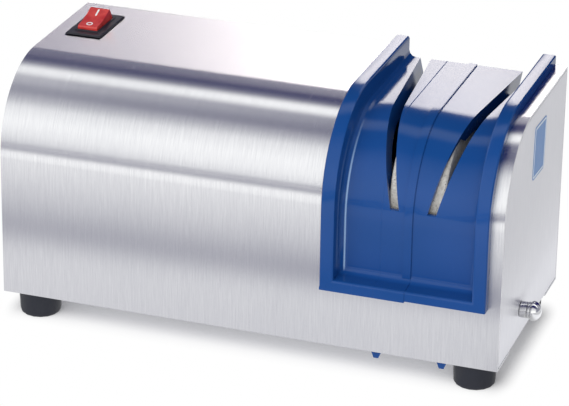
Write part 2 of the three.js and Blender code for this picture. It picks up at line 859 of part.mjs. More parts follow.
// The ledge that closes the tray at the bottom, with its cove up to the floor.
function makeLedge() {
  const floorY = -trayFloor;
  const ledgeTopZ = guideBottomZ + guideFootRimHeight;
  const coveZ = ledgeTopZ + guideLedgeRise;
  const shape = new THREE.Shape();
  shape.moveTo(-seatGap, guideBottomZ);
  shape.lineTo(-rimProud, guideBottomZ);
  shape.absarc(
    -rimProud + rimInnerEdge, ledgeTopZ - rimInnerEdge, rimInnerEdge, Math.PI, Math.PI / 2, true,
  );
  shape.absarc(
    floorY - trayFilletRadius, coveZ + trayFilletRadius, trayFilletRadius, -Math.PI / 2, 0, false,
  );
  shape.lineTo(floorY + trayFloorThickness / 2, coveZ + trayFilletRadius);
  shape.lineTo(floorY + trayFloorThickness / 2, trayBottomZ);
  shape.lineTo(-seatGap, trayBottomZ);
  return pulledAlongX(shape, trayLeft - rimInnerEdge, trayRight + rimInnerEdge, filletSteps);
}

// The wall that closes the notch in the housing's back, below the tray.
function makeBackSkirt() {
  return box(
    [openingLeft + seatGap, openingRight - seatGap],
    [housingDepth - backSkirtThickness, housingDepth],
    [backOpeningZ + seatGap, trayTopZ - trayFloorThickness / 2],
  );
}

function makeLeg(fromSeam) {
  const x = guideSeam + fromSeam;
  const topZ = trayBottomZ + legTopRise;
  const shape = polygon([
    [x - legTopWidth / 2, topZ],
    [x - legWaistWidth / 2, legWaistZ],
    [x - legTipWidth / 2, legTipZ],
    [x + legTipWidth / 2, legTipZ],
    [x + legWaistWidth / 2, legWaistZ],
    [x + legTopWidth / 2, topZ],
  ]);
  const frontY = coverSeat + seatGap;
  return pulledAlongY(shape, frontY, frontY + legThickness);
}

// The forked tongue beside the right end panel, open downwards round the plunger's nose.
function makeFork() {
  const outerX = openingRight - seatGap;
  const spanX = [outerX - trayWallThickness, outerX];
  const tongue = box(
    spanX,
    spanAbout(plungerY, forkWidth / 2),
    [forkBottomZ, housingHeight - trayWallDepth + overrun],
  );
  const notchRadius = plungerRodRadius + seatGap;
  const notchEnd = rod(
    notchRadius, -trayWallThickness - overrun, overrun, "x", [outerX, plungerY, plungerZ],
  );
  const notch = box(
    [outerX - trayWallThickness - overrun, outerX + overrun],
    spanAbout(plungerY, notchRadius),
    [forkBottomZ - overrun, plungerZ],
  );
  return cut(tongue, notchEnd, notch);
}

const guideScrewPlaces = [
  ["back", guideBackBossY, trayTopZ - trayFloorThickness - guideBossRadius * bossDropShare],
  ["skirt", housingDepth - backSkirtThickness - guideBossRadius * bossDropShare, guideSkirtBossZ],
  ["foot", guideFootBossY, trayBottomZ - guideBossRadius * bossDropShare],
];

// The bosses at the seam, left solid for the screws' holes to be cut through both halves.
function makeGuideBosses() {
  return join(
    ...guideScrewPlaces.map(([, y, z]) =>
      rod(
        guideBossRadius, -guideBossLength, guideBossLength, "x", [guideSeam, y, z], smallSides * 2,
      ),
    ),
  );
}

function makeGuide() {
  const tray = carried(traySectionAt, trayStations(trayBottomZ));
  const cheeks = join(makeCheeks(-1), makeCheeks(1));
  const wheelRoom = rod(
    wheelRoomRadius,
    -wheelPairWidth / 2 - wheelClearance,
    wheelPairWidth / 2 + wheelClearance,
    "x",
    [slotCentreX, axisY, axisZ],
    wheelSides,
  );
  const body = join(
    tray,
    makeRimFeet(),
    makeLedge(),
    makeBackSkirt(),
    cut(cheeks, wheelRoom),
    makeFork(),
    makeGuideBosses(),
    ...legCentresFromSeam.map(makeLeg),
  );
  const screwHoles = guideScrewPlaces.map(([, y, z]) =>
    rod(
      guideScrewRadius + seatGap,
      -guideBossLength - overrun,
      guideBossLength + overrun,
      "x",
      [guideSeam, y, z],
      smallSides,
    ),
  );
  return cut(body, makeSlot(-1), makeSlot(1), ...screwHoles);
}

// The space on one side of the seam, as a tool that keeps that half of the guide.
function halfSpace(side) {
  const edgeX = guideSeam + side * halfSeat;
  const farX = side < 0 ? guideLeft - overrun : guideRight + overrun;
  return box(
    [Math.min(edgeX, farX), Math.max(edgeX, farX)],
    [-rimProud - overrun, housingDepth + overrun],
    [legTipZ - overrun, housingHeight + rimProud + overrun],
  );
}

function makeGuideLeftHalf(guide) {
  const edgeX = guideSeam - halfSeat;
  const stripAt = (station) => {
    const floor = trayFloorAt(station);
    return [
      [edgeX - seamStripWidth, floor - trayFloorThickness / 2],
      [edgeX - seamStripWidth, floor + seamStripHeight],
      [edgeX, floor + seamStripHeight],
      [edgeX, floor - trayFloorThickness / 2],
    ];
  };
  const strip = carried(stripAt, trayStations(trayBottomZ + trayFilletRadius));
  const heel = box(
    [guideLeft, edgeX],
    [-rimProud, -seatGap],
    [guideBottomZ - guideHeelDrop, guideBottomZ + guideHeelDrop],
  );
  return join(guide.intersect(halfSpace(-1)), strip, heel);
}

function makeGuideScrew(y, z) {
  const headX = guideSeam - guideBossLength - seatGap;
  return screw(
    guideScrewRadius,
    guideBossLength * 2,
    guideScrewHeadRadius,
    guideScrewHeadHeight,
    "x",
    [headX, y, z],
  );
}

const onAxis = (x) => [x, axisY, axisZ];
const shaftBore = shaftRadius + seatGap;

function makeShaft() {
  const end = wheelsRight + wheelFlangeThickness + wheelNutLength + shaftTail / 2;
  return turned(
    [
      [0, shaftLeftX],
      [shaftRadius - nutChamfer, shaftLeftX],
      [shaftRadius, shaftLeftX + nutChamfer],
      [shaftRadius, end - nutChamfer],
      [shaftRadius - nutChamfer, end],
      [0, end],
    ],
    "x",
    onAxis(0),
    innerSides,
  );
}

function makeWheel(leftX) {
  const rightX = leftX + wheelThickness;
  return turned(
    [
      [shaftBore, leftX],
      [wheelRadius - wheelEdge, leftX],
      [wheelRadius, leftX + wheelEdge],
      [wheelRadius, rightX - wheelEdge],
      [wheelRadius - wheelEdge, rightX],
      [shaftBore, rightX],
    ],
    "x",
    onAxis(0),
    wheelSides,
  );
}

function makeInnerFlange() {
  const end = wheelsLeft - seatGap;
  return turned(
    [
      [shaftBore, end - hubLength],
      [hubRadius, end - hubLength],
      [hubRadius, end - wheelFlangeThickness],
      [wheelFlangeRadius, end - wheelFlangeThickness + nutChamfer],
      [wheelFlangeRadius, end],
      [shaftBore, end],
    ],
    "x",
    onAxis(0),
    innerSides,
  );
}

function makeOuterFlange() {
  const start = wheelsRight + seatGap;
  return turned(
    [
      [shaftBore, start],
      [wheelFlangeRadius, start],
      [wheelFlangeRadius, start + wheelFlangeThickness - nutChamfer],
      [hubRadius, start + wheelFlangeThickness],
      [shaftBore, start + wheelFlangeThickness],
    ],
    "x",
    onAxis(0),
    innerSides,
  );
}

function makeFan() {
  const hub = ring(shaftBore, fanHubRadius, 0, fanWidth, "x", onAxis(0), innerSides);
  const disc = ring(
    fanHubRadius - nutChamfer, fanRadius, 0, fanDiscThickness, "x", onAxis(0), turnedSides,
  );
  const blades = [];
  for (let i = 0; i < fanBlades; i++) {
    const geometry = new THREE.BoxGeometry(fanWidth, fanBladeThickness, fanRadius - fanHubRadius);
    geometry.translate(fanWidth / 2, 0, (fanRadius + fanHubRadius) / 2 - nutChamfer);
    geometry.rotateX((Math.PI * 2 * i) / fanBlades);
    geometry.translate(0, axisY, axisZ);
    blades.push(solid(geometry));
  }
  return join(hub, disc, ...blades).translate(shaftLeftX + nutChamfer, 0, 0);
}

// The inner end of a motor bell lies against the shell, and its hub carries a bearing.
function makeBell(side) {
  const profile = [
    [bearingRadius + seatGap, -bellDepth],
    [bellHubRadius, -bellDepth],
    [bellHubRadius, -bellWeb * 2],
    [motorShellRadius - bellRimWidth, -bellWeb * 2],
    [motorShellRadius, -bellWeb],
    [motorShellRadius, 0],
    [motorShellRadius - bellRimWidth, 0],
    [motorShellRadius - bellRimWidth, -bellWeb],
    [bearingRadius + seatGap, -bellWeb],
  ];
  const aimed = profile.map(([radius, along]) => [radius, -side * along]);
  const faceX = motorCentreX + side * (motorShellLength / 2 + seatGap);
  const boltHoles = motorBoltPlaces().map(([y, z]) =>
    rod(motorBoltRadius + seatGap, -bellDepth, bellDepth, "x", [faceX, y, z], smallSides),
  );
  return cut(turned(aimed, "x", onAxis(faceX), innerSides), ...boltHoles);
}

function motorBoltPlaces() {
  return [1, -1].map((side) => [axisY, axisZ + side * motorBoltCircle]);
}

function makeMotorBolt(y, z) {
  const reach = motorShellLength / 2 + seatGap * 2 + bellWeb * 2;
  return screw(
    motorBoltRadius,
    reach * 2,
    motorBoltHeadRadius,
    motorBoltHeadHeight,
    "x",
    [motorCentreX - reach, y, z],
  );
}

function makeStatorCore() {
  const spanX = [-statorLength / 2, statorLength / 2];
  const outerRadius = motorShellRadius - motorShellThickness - seatGap;
  const stack = ring(statorBoreRadius, outerRadius, ...spanX, "x", onAxis(motorCentreX));
  const channel = (y, z) =>
    rod(motorBoltRadius + seatGap, -statorLength, statorLength, "x", [motorCentreX, y, z], smallSides);
  const slots = slotPlaces().map(([y, z]) =>
    rod(statorSlotRadius, -statorLength, statorLength, "x", [motorCentreX, y, z], hexSides),
  );
  return cut(stack, ...slots, ...motorBoltPlaces().map(([y, z]) => channel(y, z)));
}

function slotPlaces() {
  return Array.from({ length: statorSlots }, (_, i) => {
    const angle = (Math.PI * 2 * (i + 1 / 2)) / statorSlots;
    return [axisY + statorSlotCircle * Math.cos(angle), axisZ + statorSlotCircle * Math.sin(angle)];
  });
}

// Copper wound through the core's slots, with its end turns gathered into two rings.
function makeWinding() {
  const coreEnd = statorLength / 2 + seatGap;
  const endRings = [-1, 1].map((side) => {
    const span = [side * coreEnd, side * (coreEnd + coilOverhang)].sort((a, b) => a - b);
    const [start, end] = span;
    const middle = (start + end) / 2;
    const profile = [
      [coilInnerRadius, middle],
      [coilInnerRadius + coilEdge, start],
      [coilOuterRadius - coilEdge, start],
      [coilOuterRadius, middle],
      [coilOuterRadius - coilEdge, end],
      [coilInnerRadius + coilEdge, end],
    ];
    return turned(profile, "x", onAxis(motorCentreX), innerSides);
  });
  const reach = coreEnd + coilOverhang / 2;
  const bars = slotPlaces().map(([y, z]) =>
    rod(statorSlotRadius - seatGap * 2, -reach, reach, "x", [motorCentreX, y, z], hexSides),
  );
  return join(...endRings, ...bars);
}

function makeBearing(side) {
  const faceX = motorCentreX + side * (motorShellLength / 2 + seatGap + bellDepth);
  const span = [faceX, faceX - side * bearingLength].sort((a, b) => a - b);
  return ring(shaftBore, bearingRadius, ...span, "x", onAxis(0), innerSides);
}

// A flanged bearing in the partition, close behind the grinding wheels.
function makeArborBearing() {
  const flangeX = partitionX + partitionThickness + seatGap;
  return turned(
    [
      [shaftBore, flangeX + bearingFlangeThickness - bearingLength],
      [bearingRadius, flangeX + bearingFlangeThickness - bearingLength],
      [bearingRadius, flangeX],
      [bearingFlangeRadius, flangeX],
      [bearingFlangeRadius, flangeX + bearingFlangeThickness],
      [shaftBore, flangeX + bearingFlangeThickness],
    ],
    "x",
    onAxis(0),
    innerSides,
  );
}

const saddleRadius = motorShellRadius + seatGap;
const saddleCentres = [-1, 1].map((side) => motorCentreX + (side * (cradleLength - saddleThickness)) / 2);
const saddleTopZ = axisZ - saddleTopDrop;
const strapOuterRadius = saddleRadius + strapThickness;
const strapEarY = [-1, 1].map((side) => axisY + (side * (saddleHalfWidth + strapOuterRadius)) / 2);

// A cast cradle on the base plate, with two saddles under the motor's shell.
function makeCradle() {
  const floorTopZ = innerFloorZ + cradleFloorThickness;
  const floor = box(
    spanAbout(motorCentreX, cradleLength / 2),
    spanAbout(axisY, cradleFloorWidth / 2),
    [innerFloorZ, floorTopZ],
  );
  const outline = polygon([
    [axisY - cradleFloorWidth / 2, innerFloorZ],
    [axisY + cradleFloorWidth / 2, innerFloorZ],
    [axisY + saddleHalfWidth, axisZ - saddleShoulderDrop],
    [axisY + saddleHalfWidth, saddleTopZ],
    [axisY - saddleHalfWidth, saddleTopZ],
    [axisY - saddleHalfWidth, axisZ - saddleShoulderDrop],
  ]);
  const saddles = saddleCentres.map((x) =>
    pulledAlongX(outline, x - saddleThickness / 2, x + saddleThickness / 2),
  );
  const seat = rod(saddleRadius, -cradleLength, cradleLength, "x", onAxis(motorCentreX));
  return cut(join(floor, ...saddles), seat, ...strapScrewHoles(saddleTopZ - strapScrewReach));
}

function strapScrewHoles(fromZ) {
  return saddleCentres.flatMap((x) =>
    strapEarY.map((y) =>
      rod(strapScrewRadius + seatGap, fromZ - seatGap, axisZ, "z", [x, y, 0], smallSides),
    ),
  );
}

function makeStrap(x) {
  const span = [x - saddleThickness / 2, x + saddleThickness / 2];
  const earZ = saddleTopZ + seatGap;
  const band = ring(saddleRadius, strapOuterRadius, ...span, "x", onAxis(0));
  const ears = box(span, spanAbout(axisY, saddleHalfWidth), [earZ, earZ + strapThickness]);
  const below = box(
    [span[0] - overrun, span[1] + overrun],
    spanAbout(axisY, motorShellRadius * 2),
    [earZ - motorShellRadius * 2, earZ],
  );
  const shellRoom = rod(saddleRadius, -overrun, saddleThickness + overrun, "x", onAxis(span[0]));
  return cut(join(band, ears), below, shellRoom, ...strapScrewHoles(saddleTopZ));
}

function makeStrapScrew(x, y) {
  const seatZ = saddleTopZ + seatGap * 2 + strapThickness;
  const length = seatZ - saddleTopZ + strapScrewReach - seatGap;
  return screw(
    strapScrewRadius, length, strapScrewHeadRadius, strapScrewHeadHeight, "z", [x, y, seatZ], -1,
  );
}

const capacitorZ = innerFloorZ + capacitorLift + capacitorRadius;

function makeCapacitor() {
  return turned(
    [
      [0, 0],
      [capacitorRadius - capacitorEdge, 0],
      [capacitorRadius, capacitorEdge],
      [capacitorRadius, capacitorLength - capacitorEdge],
      [capacitorRadius - capacitorEdge, capacitorLength],
      [0, capacitorLength],
    ],
    "x",
    [capacitorX, capacitorY, capacitorZ],
    smallSides * 2,
  );
}

// A bent strip round the capacitor, with a foot on each side on the base plate.
function makeClip() {
  const middleX = capacitorX + capacitorLength / 2;
  const spanX = spanAbout(middleX, clipWidth / 2);
  const innerRadius = capacitorRadius + seatGap;
  const outerRadius = innerRadius + clipThickness;
  const centre = [0, capacitorY, capacitorZ];
  const sides = smallSides * 2;
  const band = ring(innerRadius, outerRadius, ...spanX, "x", centre, sides);
  const skirt = box(spanX, spanAbout(capacitorY, outerRadius), [innerFloorZ, capacitorZ]);
  const feet = box(
    spanX,
    spanAbout(capacitorY, outerRadius + clipFootLength),
    [innerFloorZ, innerFloorZ + clipThickness],
  );
  const room = rod(innerRadius, spanX[0] - overrun, spanX[1] + overrun, "x", centre, sides);
  const under = box(
    [spanX[0] - overrun, spanX[1] + overrun],
    spanAbout(capacitorY, innerRadius),
    [innerFloorZ - overrun, capacitorZ],
  );
  return cut(join(band, skirt, feet), room, under);
}

// The gland's flange lies on the back, its thread passes through, and its bore is open.
function makeGland() {
  return turned(
    [
      [glandBoreRadius, -coverThickness - glandInnerLength],
      [glandThreadRadius, -coverThickness - glandInnerLength],
      [glandThreadRadius, seatGap],
      [glandFlangeRadius, seatGap],
      [glandFlangeRadius, seatGap + glandFlangeThickness],
      [glandCapRadius, seatGap + glandFlangeThickness],
      [glandCapRadius, glandLength - nutChamfer * 2],
      [glandBoreRadius + nutChamfer * 2, glandLength],
      [glandBoreRadius, glandLength],
    ],
    "y",
    [glandX, housingDepth, glandZ],
    innerSides,
  );
}

function makeGlandNut() {
  const end = -coverThickness - seatGap;
  return hexNut(
    glandNutFlats,
    glandThreadRadius + seatGap,
    end - glandNutThickness,
    end,
    "y",
    [glandX, housingDepth, glandZ],
  );
}

const rockerPivotZ = housingHeight - rockerPivotDepth;
const windowHalfWidth = rockerWidth / 2 + seatGap;
const windowHalfLength = rockerBodyRadius + seatGap;

// The switch's case: a bezel on the top sheet, a body with a pocket and four blade terminals.
function makeSwitchHousing() {
  const bezelBottomZ = housingHeight + seatGap;
  const bezelTopZ = bezelBottomZ + bezelThickness;
  const bezel = join(
    box(
      spanAbout(switchX, bezelWidth / 2),
      spanAbout(switchY, bezelLength / 2),
      [bezelBottomZ, bezelTopZ - bezelEdge],
    ),
    box(
      spanAbout(switchX, bezelWidth / 2 - bezelEdge),
      spanAbout(switchY, bezelLength / 2 - bezelEdge),
      [bezelBottomZ, bezelTopZ],
    ),
    box(
      spanAbout(switchX, windowHalfWidth + windowLipWidth),
      spanAbout(switchY, windowHalfLength + windowLipWidth),
      [bezelBottomZ, bezelTopZ + windowLipHeight],
    ),
  );
  const bodyBottomZ = housingHeight - switchBodyDepth;
  const body = box(
    spanAbout(switchX, switchBodyWidth / 2),
    spanAbout(switchY, switchBodyLength / 2),
    [bodyBottomZ, bezelBottomZ + bezelEdge],
  );
  const terminals = [];
  for (let i = 0; i < terminalCount; i++) {
    const x = switchX + (i % 2 ? terminalPitch / 2 : -terminalPitch / 2);
    const y = switchY + (i < 2 ? terminalPitch / 2 : -terminalPitch / 2);
    const spanZ = [bodyBottomZ - terminalLength, bodyBottomZ + terminalThickness];
    terminals.push(box(spanAbout(x, terminalThickness / 2), spanAbout(y, terminalWidth / 2), spanZ));
  }
  const pocket = box(
    spanAbout(switchX, windowHalfWidth),
    spanAbout(switchY, windowHalfLength),
    [housingHeight - switchPocketDepth, bezelTopZ + overrun],
  );
  const pinHole = rod(
    rockerPinRadius + seatGap,
    -windowHalfWidth - rockerPinReach - seatGap,
    windowHalfWidth + rockerPinReach + seatGap,
    "x",
    [switchX, switchY, rockerPivotZ],
    smallSides,
  );
  return cut(join(bezel, body, ...terminals), pocket, pinHole);
}

// The rocker, tipped with its front end pressed, in a shallow valley between two raised ends.
function makeRocker() {
  const shape = new THREE.Shape();
  const roundStart = rockerTopHalfLength - rockerEndRound;
  const roundEnd = rockerEndHeight - rockerEndRound;
  const valley = rockerValleyHeight * 2 - rockerEndHeight;
  shape.moveTo(-rockerTopHalfLength, roundEnd);
  shape.quadraticCurveTo(-rockerTopHalfLength, rockerEndHeight, -roundStart, rockerEndHeight);
  shape.quadraticCurveTo(0, valley, roundStart, rockerEndHeight);
  shape.quadraticCurveTo(rockerTopHalfLength, rockerEndHeight, rockerTopHalfLength, roundEnd);
  const endAngle = Math.asin(rockerPivotDepth / rockerBodyRadius);
  const lowAngle = -Math.asin(rockerBodyDepth / rockerBodyRadius);
  shape.lineTo(rockerBodyRadius * Math.cos(endAngle), rockerPivotDepth);
  shape.absarc(0, 0, rockerBodyRadius, endAngle, lowAngle, true);
  shape.absarc(0, 0, rockerBodyRadius, Math.PI - lowAngle, Math.PI - endAngle, true);
  const block = pulledAlongX(shape, -rockerWidth / 2, rockerWidth / 2, filletSteps);
  const hole = rod(
    rockerPinRadius + seatGap, -rockerWidth, rockerWidth, "x", [0, 0, 0], smallSides,
  );
  return cut(block, hole).rotate(rockerTilt, 0, 0).translate(switchX, switchY, rockerPivotZ);
}

function makeRockerPin() {
  const reach = windowHalfWidth + rockerPinReach;
  const centre = [switchX, switchY, rockerPivotZ];
  return rod(rockerPinRadius, -reach, reach, "x", centre, smallSides);
}

const atPlunger = (x) => [x, plungerY, plungerZ];
const bushingInnerX = openingRight - seatGap + bushingInset;
const bushingCollarX = housingLength + seatGap;
const bushingOuterX = bushingCollarX + bushingCollarLength;
const springSeatX = bushingOuterX - bushingEndWall - bushingCollarLength;
const collarStartX = openingRight;
const collarEndX = collarStartX + plungerCollarLength;
const knobStartX = bushingOuterX + seatGap;

function makeBushing() {
  const springBore = plungerCollarRadius + seatGap;
  const rodBore = plungerRodRadius + seatGap;
  return turned(
    [
      [springBore, bushingInnerX],
      [bushingBarrelRadius, bushingInnerX],
      [bushingBarrelRadius, bushingCollarX],
      [bushingCollarRadius, bushingCollarX],
      [bushingCollarRadius, bushingOuterX],
      [rodBore, bushingOuterX],
      [rodBore, springSeatX],
      [springBore, springSeatX],
    ],
    "x",
    atPlunger(0),
    smallSides * 2,
  );
}

function makePlungerNut() {
  const end = housingLength - panelThickness - seatGap;
  return hexNut(
    plungerNutFlats, bushingBarrelRadius + seatGap, end - plungerNutThickness, end, "x", atPlunger(0),
  );
}

function makePlungerPin() {
  const noseX = openingRight - seatGap - trayWallThickness;
  const endX = knobStartX + knobBlindDepth - seatGap;
  return turned(
    [
      [0, noseX],
      [plungerRodRadius - nutChamfer, noseX],
      [plungerRodRadius, noseX + nutChamfer],
      [plungerRodRadius, collarStartX],
      [plungerCollarRadius, collarStartX],
      [plungerCollarRadius, collarEndX],
      [plungerRodRadius, collarEndX],
      [plungerRodRadius, endX],
      [0, endX],
    ],
    "x",
    atPlunger(0),
    smallSides,
  );
}

// A turned knob: a ring, a groove, then a wider head with a domed face.
function makeKnob() {
  const ringX = knobStartX + knobRingLength;
  const headX = ringX + knobGrooveLength;
  const backAngle = THREE.MathUtils.degToRad(knobBackAngle);
  const headLength = (knobLength - knobRingLength - knobGrooveLength) / (1 + Math.sin(backAngle));
  const widestX = headX + headLength * Math.sin(backAngle);
  const profile = [
    [plungerRodRadius + seatGap, knobStartX],
    [knobSkirtRadius, knobStartX],
    [knobSkirtRadius, ringX],
    [knobNeckRadius, ringX],
    [knobNeckRadius, headX],
  ];
  for (let i = 0; i <= knobSteps; i++) {
    const angle = (Math.PI / 2 + backAngle) * (i / knobSteps) - backAngle;
    profile.push([knobRadius * Math.cos(angle), widestX + headLength * Math.sin(angle)]);
  }
  profile[profile.length - 1][0] = 0;
  profile.push([0, knobStartX + knobBlindDepth]);
  profile.push([plungerRodRadius + seatGap, knobStartX + knobBlindDepth]);
  return turned(profile, "x", atPlunger(0), smallSides * 2);
}

// The plunger's return spring, one wire wound between the pin's collar and the bushing.
function makeSpring() {
  const startX = collarEndX + seatGap + springWireRadius;
  const length = springSeatX - seatGap - springWireRadius - startX;
  const coilRadius = (plungerRodRadius + plungerCollarRadius + seatGap) / 2;
  const rings = springTurns * springStepsPerTurn;
  const rise = length / (Math.PI * 2 * springTurns * coilRadius);
  const positions = [];
  for (let i = 0; i <= rings; i++) {
    const turn = (Math.PI * 2 * springTurns * i) / rings;
    const out = new THREE.Vector3(0, Math.cos(turn), Math.sin(turn));
    const side = new THREE.Vector3(1, Math.sin(turn) * rise, -Math.cos(turn) * rise).normalize();
    const centre = out.clone().multiplyScalar(coilRadius);
    centre.x = startX + (length * i) / rings;
    for (let k = 0; k < springSides; k++) {
      const angle = (Math.PI * 2 * k) / springSides;
      const point = centre
        .clone()
        .addScaledVector(out, springWireRadius * Math.cos(angle))
        .addScaledVector(side, springWireRadius * Math.sin(angle));
      positions.push(point.x, point.y + plungerY, point.z + plungerZ);
    }
  }
  const faces = [];
  for (let i = 0; i < rings; i++) {
    for (let k = 0; k < springSides; k++) {
      const [a, b] = [i * springSides + k, i * springSides + ((k + 1) % springSides)];
      faces.push(a, b, b + springSides, a, b + springSides, a + springSides);
    }
  }
  const last = rings * springSides;
  for (let k = 1; k < springSides - 1; k++) {
    faces.push(0, k + 1, k, last, last + k, last + k + 1);
  }
  const geometry = new THREE.BufferGeometry();
  geometry.setAttribute("position", new THREE.Float32BufferAttribute(positions, 3));
  geometry.setIndex(faces);
  return solid(geometry);
}

// The housing and what it carries
addPart("housing_cover", makeCover(), "stainless");
addPart("left_end_panel", makeEndPanel(0, 1), "stainless");
addPart("right_end_panel", makeRightEndPanel(), "stainless");
addPart("base_plate", makeBasePlate(), "steel");
addPart("partition_plate", makePartition(), "steel");
for (const [place, x, y] of footCentres) {
  addPart(`foot_${place}`, makeFoot(x, y), "rubber");
  addPart(`foot_screw_${place}`, makeFootScrew(x, y), "steel");
}
for (const [place, x, y] of baseScrewPlaces) {
  addPart(`base_screw_${place}`, makeBaseScrew(x, y), "steel");
}
addPart("switch_housing", makeSwitchHousing(), "black");
addPart("cord_gland", makeGland(), "black");
addPart("gland_nut", makeGlandNut(), "black");
addPart("plunger_bushing", makeBushing(), "chrome");
addPart("plunger_nut", makePlungerNut(), "steel");

// The motor
addPart("motor_cradle", makeCradle(), "painted");
saddleCentres.forEach((x, i) => {
  const place = i ? "right" : "left";
  addPart(`motor_strap_${place}`, makeStrap(x), "steel");
  strapEarY.forEach((y, k) => {
    addPart(`strap_screw_${k ? "back" : "front"}_${place}`, makeStrapScrew(x, y), "steel");
  });
});
const shellSpan = [-motorShellLength / 2, motorShellLength / 2];
const shellBore = motorShellRadius - motorShellThickness;
addPart(
  "motor_shell",
  ring(shellBore, motorShellRadius, ...shellSpan, "x", onAxis(motorCentreX)),
  "painted",
);
addPart("motor_bell_left", makeBell(-1), "painted");
addPart("motor_bell_right", makeBell(1), "painted");
motorBoltPlaces().forEach(([y, z], i) => {
  addPart(`motor_bolt_${i ? "lower" : "upper"}`, makeMotorBolt(y, z), "steel");
});
addPart("stator_core", makeStatorCore(), "steel");
addPart("stator_winding", makeWinding(), "copper");
addPart("shaft_bearing_left", makeBearing(-1), "bronze");
addPart("shaft_bearing_right", makeBearing(1), "bronze");
addPart("arbor_bearing", makeArborBearing(), "bronze");
addPart("run_capacitor", makeCapacitor(), "nylon");
addPart("capacitor_clip", makeClip(), "steel");

// What turns on the shaft
addPart("motor_shaft", makeShaft(), "steel");
addPart(
  "rotor_core",
  ring(
    shaftBore,
    statorBoreRadius - airGap,
    -statorLength / 2,
    statorLength / 2,
    "x",
    onAxis(motorCentreX),
    innerSides,
  ),
  "steel",
);
addPart("cooling_fan", makeFan(), "black");
addPart("wheel_flange_inner", makeInnerFlange(), "steel");
addPart("grinding_wheel_left", makeWheel(wheelsLeft), "abrasive");
addPart(
  "wheel_spacer",
  ring(
    shaftBore,
    hubRadius,
    wheelsLeft + wheelThickness + seatGap,
    wheelsRight - wheelThickness - seatGap,
    "x",
    onAxis(0),
    innerSides,
  ),
  "steel",
);
addPart("grinding_wheel_right", makeWheel(wheelsRight - wheelThickness), "abrasive");
addPart("wheel_flange_outer", makeOuterFlange(), "steel");
const wheelNutX = wheelsRight + wheelFlangeThickness + seatGap * 2;
addPart(
  "wheel_nut",
  hexNut(wheelNutFlats, shaftBore, wheelNutX, wheelNutX + wheelNutLength, "x", onAxis(0)),
  "steel",
);

// The blade guide, which lifts off
const guide = makeGuide();
addPart("guide_left_half", makeGuideLeftHalf(guide), "blue");
addPart("guide_right_half", guide.intersect(halfSpace(1)), "blue");
for (const [place, y, z] of guideScrewPlaces) {
  addPart(`guide_screw_${place}`, makeGuideScrew(y, z), "steel");
}

// The plunger and the rocker
addPart("plunger_knob", makeKnob(), "chrome");
addPart("plunger_pin", makePlungerPin(), "steel");
addPart("plunger_spring", makeSpring(), "steel");
addPart("rocker_button", makeRocker(), "red");
addPart("rocker_pin", makeRockerPin(), "steel");

// The finished group's origin is the middle of its footprint, at the bottom of the feet.
const bounds = new THREE.Box3().setFromObject(model);
const middle = bounds.getCenter(new THREE.Vector3());
model.position.set(-middle.x, -middle.y, -bounds.min.z);

export default model;
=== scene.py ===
# Electric knife sharpener: finishes, small details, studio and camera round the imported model.
import math

import bmesh
import bpy
from mathutils import Matrix, Vector


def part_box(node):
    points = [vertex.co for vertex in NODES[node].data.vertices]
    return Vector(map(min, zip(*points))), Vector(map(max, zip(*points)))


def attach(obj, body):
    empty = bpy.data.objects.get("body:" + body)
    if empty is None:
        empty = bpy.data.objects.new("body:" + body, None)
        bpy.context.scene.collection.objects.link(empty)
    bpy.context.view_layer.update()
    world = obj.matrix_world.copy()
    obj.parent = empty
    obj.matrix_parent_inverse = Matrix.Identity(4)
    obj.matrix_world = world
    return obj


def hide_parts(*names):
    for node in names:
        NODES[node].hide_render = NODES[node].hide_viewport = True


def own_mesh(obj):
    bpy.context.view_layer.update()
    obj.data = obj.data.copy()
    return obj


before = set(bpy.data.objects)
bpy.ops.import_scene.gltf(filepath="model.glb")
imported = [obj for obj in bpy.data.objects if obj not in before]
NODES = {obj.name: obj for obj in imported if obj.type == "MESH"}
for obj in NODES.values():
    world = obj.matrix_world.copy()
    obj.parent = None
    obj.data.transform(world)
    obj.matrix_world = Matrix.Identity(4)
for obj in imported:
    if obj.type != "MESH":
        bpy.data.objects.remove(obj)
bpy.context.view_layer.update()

MM = 0.001

# Places are in millimetres from the housing's front lower left corner, as the part has them.
cover_low, cover_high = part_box("housing_cover")
HOUSING_LENGTH = (cover_high.x - cover_low.x) / MM


def at(x, y, z):
    return Vector(cover_low) + Vector((x, y, z)) * MM


# Node trees


